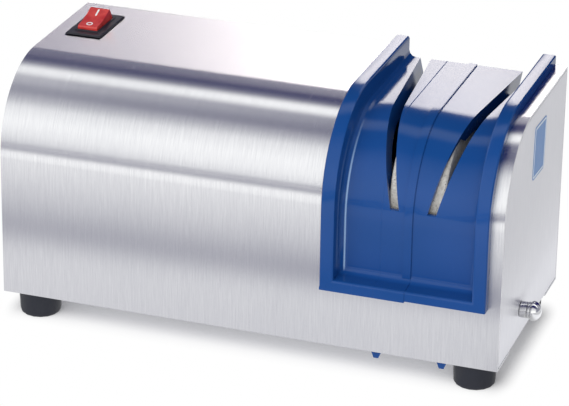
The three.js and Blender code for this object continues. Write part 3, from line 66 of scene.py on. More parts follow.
class Nodes:
    """Short calls for the nodes of one node tree, which starts empty."""

    def __init__(self, tree):
        self.tree = tree
        tree.nodes.clear()

    def new(self, kind):
        return self.tree.nodes.new(kind)

    def link(self, output, target):
        self.tree.links.new(output, target)

    def give(self, value, socket):
        """Sets a socket to a number or a colour, or links it to an output."""
        if isinstance(value, (int, float)):
            socket.default_value = value
        elif isinstance(value, tuple):
            socket.default_value = (*value, 1)
        else:
            self.link(value, socket)

    def do(self, operation, *values):
        node = self.new("ShaderNodeMath")
        node.operation = operation
        for value, socket in zip(values, node.inputs):
            self.give(value, socket)
        return node.outputs["Value"]

    def off(self, value, middle):
        """How far a value lies from a middle one, to either side."""
        return self.do("ABSOLUTE", self.do("SUBTRACT", value, middle))

    def spread(self, value, low, high, to_low=0.0, to_high=1.0, smooth=False):
        """The value's stretch between low and high, spread over a new range and held there."""
        node = self.new("ShaderNodeMapRange")
        node.interpolation_type = "SMOOTHSTEP" if smooth else "LINEAR"
        names = ("Value", "From Min", "From Max", "To Min", "To Max")
        for name, given in zip(names, (value, low, high, to_low, to_high)):
            self.give(given, node.inputs[name])
        return node.outputs["Result"]

    def mix(self, amount, first, second, blend="MIX"):
        """A colour between two, or their product."""
        node = self.new("ShaderNodeMix")
        node.data_type = "RGBA"
        node.blend_type = blend
        self.give(amount, node.inputs["Factor"])
        # Numbers 6 and 7 are the two colours; the node has other sockets of the same names.
        self.give(first, node.inputs[6])
        self.give(second, node.inputs[7])
        return node.outputs[2]

    def ramp(self, value, stops, span, tint=(1.0, 1.0, 1.0), extra=(0.0, 0.0, 0.0)):
        """A colour that runs straight from stop to stop, each a value and a brightness."""
        low, high = span
        node = self.new("ShaderNodeValToRGB")
        node.color_ramp.interpolation = "LINEAR"
        elements = node.color_ramp.elements
        while len(elements) < len(stops):
            elements.new(0.5)
        for element, (place, level) in zip(elements, stops):
            element.position = (place - low) / (high - low)
            element.color = (*(level * tint[i] + extra[i] for i in range(3)), 1)
        self.link(self.spread(value, low, high), node.inputs["Fac"])
        return node.outputs["Color"]

    def choose(self, switch, first, second):
        """One of two shaders."""
        node = self.new("ShaderNodeMixShader")
        for output, socket in zip((switch, first, second), node.inputs):
            self.link(output, socket)
        return node.outputs[0]

    def parts(self, vector):
        node = self.new("ShaderNodeSeparateXYZ")
        self.link(vector, node.inputs["Vector"])
        return [node.outputs[letter] for letter in "XYZ"]

    def coordinates(self, kind):
        return self.new("ShaderNodeTexCoord").outputs[kind]


class Finish(Nodes):
    """A material with one Principled shader, and short calls for what feeds it."""

    def __init__(self, name, color, roughness, metallic=0.0):
        self.material = bpy.data.materials.new(name)
        self.material.use_nodes = True
        super().__init__(self.material.node_tree)
        self.shader = self.new("ShaderNodeBsdfPrincipled")
        output = self.new("ShaderNodeOutputMaterial")
        self.link(self.shader.outputs["BSDF"], output.inputs["Surface"])
        self.set("Base Color", (*color, 1))
        self.set("Roughness", roughness)
        self.set("Metallic", metallic)
        self.place = self.coordinates("Object")

    def set(self, socket, value):
        self.shader.inputs[socket].default_value = value

    def feed(self, socket, output):
        self.link(output, self.shader.inputs[socket])

    def stretched(self, scale):
        """Object coordinates, in metres, multiplied by one scale or by one for each axis."""
        mapping = self.new("ShaderNodeMapping")
        each = scale if isinstance(scale, tuple) else (scale, scale, scale)
        mapping.inputs["Scale"].default_value = each
        self.link(self.place, mapping.inputs["Vector"])
        return mapping.outputs["Vector"]

    def pattern(self, kind, scale, **values):
        """A texture node. Its scale is how many times it repeats in a metre."""
        node = self.new(kind)
        node.inputs["Scale"].default_value = 1
        for name, value in values.items():
            node.inputs[name].default_value = value
        self.link(self.stretched(scale), node.inputs["Vector"])
        return node

    def noise(self, scale, detail=3.0, roughness=0.6):
        node = self.pattern("ShaderNodeTexNoise", scale, Detail=detail, Roughness=roughness)
        return node.outputs["Fac"]

    def cells(self, scale, feature="F1"):
        node = self.pattern("ShaderNodeTexVoronoi", scale)
        node.feature = feature
        return node.outputs["Distance"]

    def distance_from(self, point):
        node = self.new("ShaderNodeVectorMath")
        node.operation = "DISTANCE"
        node.inputs[1].default_value = point
        self.link(self.place, node.inputs[0])
        return node.outputs["Value"]

    def tone(self, texture, span, first, second):
        """Colours the surface from first to second as the texture runs through a span."""
        self.feed("Base Color", self.mix(self.spread(texture, *span), first, second))

    def gloss(self, texture, low, high):
        """Roughens the surface from low to high as the texture rises."""
        self.feed("Roughness", self.spread(texture, *GLOSS_SPAN, low, high))

    def bump(self, height, depth, strength, normal=None):
        """A relief whose depth is in millimetres, over another one if that is given."""
        node = self.new("ShaderNodeBump")
        node.inputs["Strength"].default_value = strength
        node.inputs["Distance"].default_value = depth * MM
        self.link(height, node.inputs["Height"])
        if normal is not None:
            self.link(normal, node.inputs["Normal"])
        return node.outputs["Normal"]

    def relief(self, height, depth, strength, normal=None):
        self.feed("Normal", self.bump(height, depth, strength, normal))


# Finishes: colours are linear, a pair of them is two tones, and pitches and depths are in millimetres

# The span of a noise that is spread over two tones, and over two grades of gloss
TONE_SPAN = (0.35, 0.65)
GLOSS_SPAN = (0.3, 0.7)

STEEL = (0.74, 0.735, 0.755)
STEEL_PALE = ((0.765, 0.76, 0.785), (0.73, 0.728, 0.755))
STEEL_DARK = ((0.665, 0.66, 0.695), (0.64, 0.637, 0.675))
# Fine lines over longer patches: how far apart, how long, and the lines' share in the streaks
GRAIN_PITCH = 0.28
GRAIN_LENGTH = 14
GRAIN_SHARE = 0.72
PATCH_PITCH = 0.65
PATCH_LENGTH = 22
STREAK_SPAN = (0.36, 0.64)
STREAK_DEPTH = 0.012
# Roughness in the dark streaks and in the pale ones
COVER_ROUGHNESS = (0.28, 0.225)
PANEL_ROUGHNESS = (0.38, 0.32)
# A ring mark's slope runs over this share of its radius
RING_SLOPE_SHARE = 0.4
RING_DEPTH = 0.18


def brushed(name, across, roughness, marks=()):
    """Brushed stainless sheet. Grain lines lie across one axis and run along the others."""
    finish = Finish(name, STEEL, roughness=0.3, metallic=1.0)

    def grain(pitch, length, **kind):
        scale = tuple(1 / ((pitch if letter == across else length) * MM) for letter in "XYZ")
        return finish.noise(scale, **kind)

    fine = grain(GRAIN_PITCH, GRAIN_LENGTH, detail=4, roughness=0.7)
    patch = grain(PATCH_PITCH, PATCH_LENGTH, detail=3, roughness=0.6)
    streaks = finish.do(
        "ADD",
        finish.do("MULTIPLY", fine, GRAIN_SHARE),
        finish.do("MULTIPLY", patch, 1 - GRAIN_SHARE),
    )
    cloud = finish.spread(finish.noise(9, detail=2), *TONE_SPAN)
    finish.tone(streaks, STREAK_SPAN, finish.mix(cloud, *STEEL_DARK), finish.mix(cloud, *STEEL_PALE))
    finish.gloss(streaks, *roughness)
    finish.set("Anisotropic", 0.92)
    finish.set("Anisotropic Rotation", 0.25)
    tangent = finish.new("ShaderNodeTangent")
    tangent.direction_type = "RADIAL"
    tangent.axis = across
    finish.feed("Tangent", tangent.outputs["Tangent"])
    normal = finish.bump(streaks, STREAK_DEPTH, strength=0.6)
    for point, radius in marks:
        ring = finish.off(finish.distance_from(point), radius)
        ring = finish.spread(ring, 0, radius * RING_SLOPE_SHARE)
        normal = finish.bump(ring, RING_DEPTH, strength=0.9, normal=normal)
    finish.feed("Normal", normal)
    return finish.material


BLUE = (0.008, 0.06, 0.24)
BLUE_TONES = ((0.006, 0.057, 0.23), (0.01, 0.063, 0.25))
BLUE_ROUGHNESS = (0.09, 0.15)
SCUFF_COLOR = (0.016, 0.073, 0.268)
SCUFF_SPAN = (0.66, 0.74)
SCUFF_ROUGHNESS = 0.08
SCUFF_DEPTH = 0.006
SINK_DEPTH = 0.06
# The line where the insert meets the tray
INSERT_LINE_X = 241.5
INSERT_LINE_HALF = 0.3
INSERT_LINE_DEPTH = 0.12
# A painted highlight on the tray's left fillet, a pale line in place of a lamp's glint: it comes up
# over one stretch of the height and one of the depth, and goes over another of the depth
FILLET_HIGHLIGHT_COLOR = (0.3, 0.46, 0.7)
FILLET_HIGHLIGHT_X = 219.4
FILLET_HIGHLIGHT_WIDTH = 0.75
FILLET_HIGHLIGHT_FOOT = (47, 50)
FILLET_HIGHLIGHT_FRONT = (5, 6.5)
FILLET_HIGHLIGHT_BACK = (14, 40)


def moulded_blue():
    """Glossy moulded plastic: faint flow, knife scuffs, an insert line, a fillet's painted highlight.
    """
    finish = Finish("moulded_blue", BLUE, roughness=0.13)
    x, y, z = finish.parts(finish.place)
    flow = finish.noise((14, 22, 18), detail=2)
    speck = finish.noise(900, detail=2)
    scuffs = finish.noise((1500, 28, 60), detail=3, roughness=0.7)
    scuffed = finish.spread(scuffs, *SCUFF_SPAN)
    body = finish.mix(finish.spread(flow, *TONE_SPAN), *BLUE_TONES)
    body = finish.mix(scuffed, body, SCUFF_COLOR)

    # The pale line along the left fillet is a painted highlight, standing in for a lamp's glint.
    painted_highlight = finish.spread(finish.off(x, at(FILLET_HIGHLIGHT_X, 0, 0).x), 0, FILLET_HIGHLIGHT_WIDTH * MM, 1, 0)
    above_foot = finish.spread(z, *(at(0, 0, height).z for height in FILLET_HIGHLIGHT_FOOT))
    past_front = finish.spread(y, *(at(0, depth, 0).y for depth in FILLET_HIGHLIGHT_FRONT))
    short_of_back = finish.spread(y, *(at(0, depth, 0).y for depth in FILLET_HIGHLIGHT_BACK), 1, 0)
    for limit in (above_foot, past_front, short_of_back):
        painted_highlight = finish.do("MULTIPLY", painted_highlight, limit)
    finish.feed("Base Color", finish.mix(painted_highlight, body, FILLET_HIGHLIGHT_COLOR))

    smooth = finish.spread(speck, *GLOSS_SPAN, *BLUE_ROUGHNESS)
    rough = finish.do("ADD", smooth, finish.do("MULTIPLY", scuffed, SCUFF_ROUGHNESS))
    finish.feed("Roughness", rough)
    finish.set("Specular IOR Level", 0.27)
    normal = finish.bump(finish.noise(40, detail=1), SINK_DEPTH, strength=0.35)
    line = finish.spread(finish.off(x, at(INSERT_LINE_X, 0, 0).x), 0, INSERT_LINE_HALF * MM)
    normal = finish.bump(line, INSERT_LINE_DEPTH, strength=0.9, normal=normal)
    finish.relief(scuffed, SCUFF_DEPTH, strength=0.4, normal=normal)
    return finish.material


ABRASIVE = (0.6, 0.58, 0.53)
ABRASIVE_TONES = ((0.5, 0.48, 0.44), (0.74, 0.72, 0.67))
DARK_GRAIN = (0.12, 0.11, 0.1)
DARK_GRAIN_SPAN = (0.64, 0.7)


def bonded_abrasive():
    """Pale bonded grit with dark grains."""
    finish = Finish("bonded_abrasive", ABRASIVE, roughness=0.9)
    coarse = finish.noise(420, detail=4, roughness=0.7)
    pale = finish.mix(finish.spread(coarse, *TONE_SPAN), *ABRASIVE_TONES)
    finish.tone(finish.noise(1300, detail=2), DARK_GRAIN_SPAN, pale, DARK_GRAIN)
    grit = finish.bump(finish.cells(1700), depth=0.25, strength=0.8)
    finish.relief(coarse, depth=0.2, strength=0.6, normal=grit)
    return finish.material


RUBBER = (0.008, 0.0095, 0.017)
RUBBER_TONES = ((0.007, 0.0085, 0.016), (0.014, 0.017, 0.027))
DUST_SPAN = (0.45, 0.75)


def foot_rubber():
    """Dark moulded rubber, dusty in places, with a fine matt texture."""
    finish = Finish("foot_rubber", RUBBER, roughness=0.62)
    dust = finish.noise((120, 120, 60), detail=4)
    finish.tone(dust, DUST_SPAN, *RUBBER_TONES)
    finish.gloss(dust, 0.5, 0.72)
    finish.relief(finish.noise(2200, detail=2), depth=0.04, strength=0.5)
    return finish.material


BLACK_PLASTIC = ((0.009, 0.009, 0.015), (0.014, 0.014, 0.022))
CREAM_PLASTIC = ((0.62, 0.6, 0.53), (0.7, 0.69, 0.62))
WHITE_PLASTIC = ((0.9, 0.88, 0.87), (0.95, 0.94, 0.93))
PLASTIC_SPAN = (0.4, 0.7)


def satin_plastic(name, tones, roughness):
    """Injection moulded plastic with a spark-eroded texture."""
    finish = Finish(name, tones[0], roughness)
    grain = finish.noise(2600, detail=2)
    finish.tone(finish.noise(70, detail=2), PLASTIC_SPAN, *tones)
    finish.gloss(grain, roughness - 0.06, roughness + 0.08)
    finish.relief(grain, depth=0.02, strength=0.5)
    return finish.material


RED = (0.62, 0.05, 0.04)
RED_TONES = ((0.54, 0.035, 0.032), (0.68, 0.065, 0.055))


def gloss_red():
    """Translucent red plastic of a lit rocker, smooth and slightly deeper at its core."""
    finish = Finish("gloss_red", RED, roughness=0.16)
    flow = finish.noise(160, detail=2)
    finish.tone(flow, TONE_SPAN, *RED_TONES)
    finish.gloss(flow, 0.13, 0.2)
    finish.set("Subsurface Weight", 0.15)
    finish.set("Subsurface Radius", (1.0, 0.2, 0.1))
    finish.set("Subsurface Scale", 0.002)
    finish.set("Coat Weight", 0.3)
    finish.set("Coat Roughness", 0.08)
    return finish.material


# Dark and pale tones
CHROME = ((0.62, 0.62, 0.63), (0.76, 0.76, 0.78))
ZINC = ((0.46, 0.46, 0.47), (0.58, 0.58, 0.6))
ROLLED_STEEL = ((0.44, 0.44, 0.46), (0.55, 0.55, 0.57))
TURNED_STEEL = ((0.42, 0.42, 0.44), (0.56, 0.56, 0.58))
BRONZE = ((0.36, 0.24, 0.1), (0.52, 0.36, 0.16))


def metal(name, tones, roughness, grain=700, depth=0.01):
    """Turned, plated or rolled metal with small changes of tone and gloss."""
    finish = Finish(name, tones[1], roughness, metallic=1.0)
    lines = finish.noise(grain, detail=3)
    finish.tone(finish.noise(60, detail=3), TONE_SPAN, *tones)
    finish.gloss(lines, roughness * 0.8, roughness * 1.3)
    finish.relief(lines, depth, strength=0.5)
    return finish.material


ENAMEL = (0.05, 0.055, 0.065)
ENAMEL_TONES = ((0.07, 0.075, 0.085), (0.035, 0.04, 0.05))
ENAMEL_SPAN = (0.2, 0.8)


def hammered_paint():
    """Dark stoved enamel with the soft dimples of a hammer finish."""
    finish = Finish("hammered_paint", ENAMEL, roughness=0.38)
    dimples = finish.cells(330, "SMOOTH_F1")
    finish.tone(dimples, ENAMEL_SPAN, *ENAMEL_TONES)
    finish.relief(dimples, depth=0.15, strength=0.5)
    finish.set("Coat Weight", 0.25)
    return finish.material


COPPER = (0.5, 0.18, 0.07)
COPPER_TONES = ((0.2, 0.06, 0.025), (0.62, 0.26, 0.1))


def wound_copper():
    """Varnished copper wire, wound in close turns."""
    finish = Finish("wound_copper", COPPER, roughness=0.35, metallic=0.9)
    wire = finish.pattern("ShaderNodeTexWave", (260, 0, 260), Distortion=1.5).outputs["Fac"]
    finish.feed("Base Color", finish.mix(wire, *COPPER_TONES))
    finish.relief(wire, depth=0.4, strength=0.7)
    return finish.material


SHEETS = (0.34, 0.34, 0.36)
SHEETS_TONES = ((0.2, 0.2, 0.215), (0.42, 0.42, 0.44))
SHEETS_SPAN = (0.4, 0.6)


def laminated_steel():
    """A stack of thin stamped sheets, seen as fine lines across the axis."""
    finish = Finish("laminated_steel", SHEETS, roughness=0.45, metallic=1.0)
    sheets = finish.noise((2000, 6, 6), detail=1)
    finish.tone(sheets, SHEETS_SPAN, *SHEETS_TONES)
    finish.relief(sheets, depth=0.1, strength=0.6)
    return finish.material


PRINT_BLUE = (0.11, 0.26, 0.58)
PRINT_WHITE = (0.78, 0.86, 0.95)
PRINT_SPAN = (0.3, 0.7)
PRINT_FADE = 1.08


def printed(name, color):
    """Printed vinyl film with a soft sheen, a little paler in places."""
    finish = Finish(name, color, roughness=0.42)
    fibre = finish.noise(900, detail=3)
    pale = tuple(min(1.0, channel * PRINT_FADE) for channel in color)
    finish.tone(fibre, PRINT_SPAN, color, pale)
    finish.gloss(fibre, 0.36, 0.5)
    return finish.material


# Carried-over CAD nodes

EDGE_ANGLE = math.radians(29)
WELD_DISTANCE = 0.001
SHADING_WEIGHT = 60


def dress(names, material, edge=0.0, segments=2):
    """Gives CAD nodes their finish, smooth shading and a rounded edge of some millimetres."""
    for name in names:
        node = NODES[name]
        node.data.materials.clear()
        node.data.materials.append(material)
        node.data.polygons.foreach_set("use_smooth", [True] * len(node.data.polygons))
        weld = node.modifiers.new("weld", "WELD")
        weld.merge_threshold = WELD_DISTANCE * MM
        if edge:
            bevel = node.modifiers.new("edge", "BEVEL")
            bevel.width = edge * MM
            bevel.segments = segments
            bevel.limit_method = "ANGLE"
            bevel.angle_limit = EDGE_ANGLE
            bevel.miter_outer = "MITER_ARC"
        shading = node.modifiers.new("shading", "WEIGHTED_NORMAL")
        shading.keep_sharp = True
        shading.weight = SHADING_WEIGHT


def names_starting(*starts):
    return sorted(name for name in NODES if name.startswith(starts))


# The small ring mark on the right end panel: its place over the depth and the height
DIMPLE = (48.8, 64.1)
DIMPLE_RADIUS = 1.8


def dress_cad():
    dress(["housing_cover"], brushed("brushed_cover", "X", COVER_ROUGHNESS), edge=0.3)
    dress(["left_end_panel"], brushed("brushed_left_end", "Y", PANEL_ROUGHNESS), edge=0.25)
    marks = [(tuple(at(HOUSING_LENGTH, *DIMPLE)), DIMPLE_RADIUS * MM)]
    right_end = brushed("brushed_right_end", "Y", PANEL_ROUGHNESS, marks)
    dress(["right_end_panel"], right_end, edge=0.25)
    blue = moulded_blue()
    dress(["guide_left_half", "guide_right_half"], blue, edge=0.35, segments=3)
    dress(["grinding_wheel_left", "grinding_wheel_right"], bonded_abrasive(), edge=0.3)
    feet = [name for name in names_starting("foot_") if "screw" not in name]
    dress(feet, foot_rubber(), edge=0.4)
    black = satin_plastic("satin_black", BLACK_PLASTIC, roughness=0.38)
    dress(["switch_housing", "cord_gland", "gland_nut", "cooling_fan"], black, edge=0.25)
    dress(["rocker_button"], gloss_red(), edge=0.45, segments=3)
    chrome = metal("polished_chrome", CHROME, roughness=0.12, grain=(60, 900, 900), depth=0.003)
    dress(["plunger_knob", "plunger_bushing"], chrome, edge=0.25)
    zinc = metal("zinc_plate", ZINC, roughness=0.32)
    dress(names_starting("foot_screw", "base_screw", "guide_screw", "strap_screw", "motor_bolt"), zinc)
    dress(["rocker_pin", "plunger_pin", "plunger_nut", "capacitor_clip"], zinc)
    make_spring(zinc)
    plate = metal("rolled_plate", ROLLED_STEEL, roughness=0.36, grain=(1200, 40, 1200), depth=0.008)
    dress(["base_plate", "partition_plate", "motor_strap_left", "motor_strap_right"], plate, edge=0.2)
    turned = metal("turned_steel", TURNED_STEEL, roughness=0.28, grain=(1600, 30, 30), depth=0.012)
    arbor = ["motor_shaft", "wheel_flange_inner", "wheel_flange_outer", "wheel_spacer", "wheel_nut"]
    dress(arbor, turned, edge=0.2)
    motor = ["motor_shell", "motor_bell_left", "motor_bell_right", "motor_cradle"]
    dress(motor, hammered_paint(), edge=0.3)
    dress(["stator_core", "rotor_core"], laminated_steel())
    dress(["stator_winding"], wound_copper())
    bronze = metal("bearing_bronze", BRONZE, roughness=0.3)
    dress(["shaft_bearing_left", "shaft_bearing_right", "arbor_bearing"], bronze)
    make_seam_web(blue)
    case = satin_plastic("capacitor_case", CREAM_PLASTIC, roughness=0.5)
    dress(["run_capacitor"], case, edge=0.3)


# Pieces that only the scene has


def new_mesh(name, work):
    mesh = bpy.data.meshes.new(name)
    work.to_mesh(mesh)
    work.free()
    return mesh


def new_object(name, data):
    item = bpy.data.objects.new(name, data)
    bpy.context.scene.collection.objects.link(item)
    return item


def add_piece(name, mesh, material, body):
    piece = new_object(name, mesh)
    mesh.materials.append(material)
    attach(piece, body)
    return piece


def rounded_outline(width, height, corner, steps=6):
    """Points of a rectangle with round corners, about the origin, anticlockwise."""
    points = []
    for turn, (side_x, side_y) in enumerate(((1, 1), (-1, 1), (-1, -1), (1, -1))):
        for i in range(steps + 1):
            angle = math.pi / 2 * (turn + i / steps)
            points.append((
                side_x * (width / 2 - corner) + corner * math.cos(angle),
                side_y * (height / 2 - corner) + corner * math.sin(angle),
            ))
    return points


def plate_mesh(name, loops, thickness, place):
    """A thin plate from an outer loop and an optional inner one. Place gives the point in space for
    a point of a loop and its lift."""
    work = bmesh.new()
    layers = []
    for lift in (0, thickness):
        layers.append([[work.verts.new(place(a, b, lift)) for a, b in loop] for loop in loops])
    count = len(loops[0])
    for i in range(count):
        k = (i + 1) % count
        for loop in range(len(loops)):
            low, high = layers[0][loop], layers[1][loop]
            side = (low[i], low[k], high[k], high[i])
            work.faces.new(side if loop == 0 else side[::-1])
        if len(loops) == 2:
            for layer, flip in ((layers[1], False), (layers[0], True)):
                face = (layer[0][i], layer[0][k], layer[1][k], layer[1][i])
                work.faces.new(face[::-1] if flip else face)
    if len(loops) == 1:
        work.faces.new(layers[1][0])
        work.faces.new(layers[0][0][::-1])
    bmesh.ops.recalc_face_normals(work, faces=work.faces)
    return new_mesh(name, work)


# The label's size, and its centre over the panel's depth and height
LABEL_SIZE = (27.3, 33.9)
LABEL_CENTRE = (76.7, 114.0)
LABEL_TURN = 2.6
LABEL_CORNER = 2.6
LABEL_THICKNESS = 0.16
LABEL_GLUE = 0.02
LABEL_BORDER = 0.9
LABEL_LINE = 1.1
PRINT_THICKNESS = 0.04


def label_place(a, b, lift):
    turn = math.radians(LABEL_TURN)
    y = LABEL_CENTRE[0] + a * math.cos(turn) + b * math.sin(turn)
    z = LABEL_CENTRE[1] - a * math.sin(turn) + b * math.cos(turn)
    return at(HOUSING_LENGTH + LABEL_GLUE + lift, y, z)


def make_label():
    """The plain blue label on the right end: a film with a printed border and nothing else."""

    def on_film(a, b, lift):
        return label_place(a, b, LABEL_THICKNESS + lift)

    loops = []
    for inset in (0, LABEL_BORDER, LABEL_BORDER + LABEL_LINE):
        width, height = (side - inset * 2 for side in LABEL_SIZE)
        loops.append(rounded_outline(width, height, LABEL_CORNER - inset))
    film = plate_mesh("label_film", loops[:1], LABEL_THICKNESS, label_place)
    blue = printed("label_blue", PRINT_BLUE)
    add_piece("label_film", film, blue, "housing")
    border = plate_mesh("label_border", loops[1:], PRINT_THICKNESS, on_film)
    white = printed("label_white", PRINT_WHITE)
    add_piece("label_border", border, white, "housing")


def make_spring(finish):
    """The plunger's spring again, as its own piece carried by the plunger's body."""
    mesh = NODES["plunger_spring"].data.copy()
    mesh.materials.clear()
    coil = add_piece("plunger_coil", mesh, finish, "plunger")
    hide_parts("plunger_spring")
    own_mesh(coil)


SEAM_GAP = 0.3
SEAM_FILL = 0.24
# The web is that much smaller than the seam's outline, so it lies just below the surface.
SEAM_SINK = 0.994
# How squarely a face of the left half has to look at the seam and how near it lies, in metres, and
# the digits of a metre to which its corners are the same
SEAM_FACING = 0.999
SEAM_NEAR = 1e-5
SEAM_DIGITS = 7


def make_seam_web(blue):
    """The locating web between the guide's halves."""
    half = NODES["guide_left_half"].data
    seam_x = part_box("guide_left_half")[1].x
    faces = [
        face for face in half.polygons
        if face.normal.x > SEAM_FACING and abs(face.center.x - seam_x) < SEAM_NEAR
    ]
    area = sum(face.area for face in faces)
    middle = sum((face.center * face.area for face in faces), Vector()) / area
    left = seam_x + (SEAM_GAP - SEAM_FILL) / 2 * MM
    work = bmesh.new()
    made = {}
    for face in faces:
        corners = []
        for index in face.vertices:
            point = half.vertices[index].co
            key = (round(point.y, SEAM_DIGITS), round(point.z, SEAM_DIGITS))
            if key not in made:
                y = middle.y + (point.y - middle.y) * SEAM_SINK
                z = middle.z + (point.z - middle.z) * SEAM_SINK
                made[key] = work.verts.new((left, y, z))
            corners.append(made[key])
        if len(set(corners)) > 2 and not work.faces.get(corners):
            work.faces.new(corners)
    grown = bmesh.ops.extrude_face_region(work, geom=work.faces[:])
    moved = [item for item in grown["geom"] if isinstance(item, bmesh.types.BMVert)]
    bmesh.ops.translate(work, verts=moved, vec=(SEAM_FILL * MM, 0, 0))
    bmesh.ops.recalc_face_normals(work, faces=work.faces)
    add_piece("guide_seam_web", new_mesh("guide_seam_web", work), blue, "guide")


# The rocker's profile, as the part has it, for the marks on its two ends
ROCKER_PIVOT = (21.4, 101.1, 141.7)
ROCKER_TILT = 14
ROCKER_HALF = 9.8
ROCKER_END_HEIGHT = 9
ROCKER_VALLEY_HEIGHT = 8
MARK_LIFT = 0.06
MARK_THICKNESS = 0.2
# The bar's width, height and corner, the ring's outer and inner radius, and where they are centred
BAR_SIZE = (1.1, 6.2, 0.5)
BAR_STEPS = 4
BAR_CENTRE = 5.9
RING_RADII = (2.1, 1.25)
RING_STEPS = 32
RING_CENTRE = -7.4


def rocker_point(x, along, lift):
    """A point on the rocker's curved top, from its middle, lifted square to the pivot's level."""
    share = (along / ROCKER_HALF + 1) / 2
    low = ROCKER_VALLEY_HEIGHT * 2 - ROCKER_END_HEIGHT
    height = (1 - share) ** 2 * ROCKER_END_HEIGHT + 2 * share * (1 - share) * low
    height += share**2 * ROCKER_END_HEIGHT
    tilt = math.radians(ROCKER_TILT)
    out = height + lift
    y = along * math.cos(tilt) - out * math.sin(tilt)
    z = along * math.sin(tilt) + out * math.cos(tilt)
    return at(ROCKER_PIVOT[0] + x, ROCKER_PIVOT[1] + y, ROCKER_PIVOT[2] + z)


def make_rocker_marks():
    """The white bar and ring on the rocker."""
    white = satin_plastic("mark_white", WHITE_PLASTIC, roughness=0.4)

    def mark(name, loops, centre):
        def place(a, b, lift):
            return rocker_point(a, centre + b, MARK_LIFT + lift)

        mesh = plate_mesh(name, loops, MARK_THICKNESS, place)
        add_piece(name, mesh, white, "rocker")

    def circle(radius):
        angles = [math.tau * i / RING_STEPS for i in range(RING_STEPS)]
        return [(radius * math.cos(angle), radius * math.sin(angle)) for angle in angles]

    mark("rocker_bar_mark", [rounded_outline(*BAR_SIZE, BAR_STEPS)], BAR_CENTRE)
    mark("rocker_ring_mark", [circle(radius) for radius in RING_RADII], RING_CENTRE)


# Studio

WHITE = (1.0, 1.0, 1.0)
# The grey that matt surfaces see all round
ROOM_LEVEL = 0.45

# What glossy surfaces see instead of a bare room: three rows of cards, one toward the left end, one
# over the middle and one toward the right end. Each row lists a card's angle round the object's
# length, from the front horizon over the top to the back one, and its brightness there.
CARD_ROWS = (
    [(0, 0.5), (12, 1.1), (30, 2.1), (48, 2.0), (60, 1.1), (80, 1.3), (90, 2.4), (106, 0.9),
     (114, 2.3), (127, 0.3)],
    [(0, 1.4), (12, 1.77), (24, 1.8), (48, 1.36), (60, 0.77), (70, 0.12), (91, 0.1), (98, 1.7),
     (106, 1.85), (113, 0.05)],
    [(0, 2.35), (12, 2.25), (24, 1.65), (48, 1.17), (60, 0.4), (68, 0.0), (91, 0.0), (98, 2.7),
     (106, 2.0), (113, 0.0)],
)
# How far each row stands toward the right end, in degrees
ROW_ANGLES = (-34, -17, 10)
FULL_TURN = (-180, 180)
CARD_TINT = (0.735, 0.745, 0.67)
CARD_BLUE = (0.014, 0.014, 0.12)
# The cards at both ends, and the angles from the middle between which they come up
SIDE_CARD = (0.33, 0.34, 0.4)
SIDE_CARD_SPAN = (48, 66)
# Soft boxes behind, each with its colour, its angle round the length and across it, its half
# sizes, the half width of its soft edge, all in degrees, and its slant
BACK_BOXES = (
    ((6.65, 6.27, 5.9), 155.5, -13.3, (6.8, 2.35), 1.9, 0.22),
    ((1.3, 1.27, 1.25), 137, -3.5, (10, 7), 5, 0.25),
    ((0.5, 0.5, 0.52), 150, 61, (34, 27), 8, 0.0),
)


def card_colours(nodes):
    """The cards' colour in the direction of the ray."""
    x, y, z = nodes.parts(nodes.coordinates("Generated"))
    turn = nodes.do("DEGREES", nodes.do("ARCTAN2", z, nodes.do("MULTIPLY", y, -1.0)))
    across = nodes.do("DEGREES", nodes.do("ARCSINE", x))
    rows = [nodes.ramp(turn, stops, FULL_TURN, CARD_TINT, CARD_BLUE) for stops in CARD_ROWS]
    color = rows[0]
    for row, low, high in zip(rows[1:], ROW_ANGLES, ROW_ANGLES[1:]):
        color = nodes.mix(nodes.spread(across, low, high), color, row)
    for box, box_turn, box_across, halves, edge, slant in BACK_BOXES:
        from_turn = nodes.do("SUBTRACT", turn, box_turn)
        from_across = nodes.do("SUBTRACT", across, box_across)
        from_across = nodes.do("ADD", from_across, nodes.do("MULTIPLY", from_turn, slant))
        inside = 1.0
        for offset, half in zip((from_turn, from_across), halves):
            outside = nodes.spread(nodes.do("ABSOLUTE", offset), half - edge, half + edge, smooth=True)
            inside = nodes.do("MULTIPLY", inside, nodes.do("SUBTRACT", 1.0, outside))
        color = nodes.mix(inside, color, box)
    side = nodes.spread(nodes.do("ABSOLUTE", across), *SIDE_CARD_SPAN, smooth=True)
    return nodes.mix(side, color, SIDE_CARD)


def light_world():
    """White to the camera, an even grey to matt surfaces, and the studio's cards to glossy ones."""
    world = bpy.data.worlds.new("studio")
    bpy.context.scene.world = world
    world.use_nodes = True
    world.cycles.sampling_method = "NONE"
    nodes = Nodes(world.node_tree)

    def background(strength, color=WHITE):
        node = nodes.new("ShaderNodeBackground")
        nodes.give(strength, node.inputs["Strength"])
        nodes.give(color, node.inputs["Color"])
        return node.outputs["Background"]

    rays = nodes.new("ShaderNodeLightPath").outputs
    cards = background(1.0, card_colours(nodes))
    surface = nodes.choose(rays["Is Glossy Ray"], background(ROOM_LEVEL), cards)
    surface = nodes.choose(rays["Is Camera Ray"], surface, background(1.0))
    nodes.link(surface, nodes.new("ShaderNodeOutputWorld").inputs["Surface"])


# Half the floor's side in metres, its colour to matt surfaces, and its colour to the camera
FLOOR_HALF = 8
FLOOR_PAPER = (0.86, 0.86, 0.87)
FLOOR_SEEN = (1.0, 1.0, 1.01)
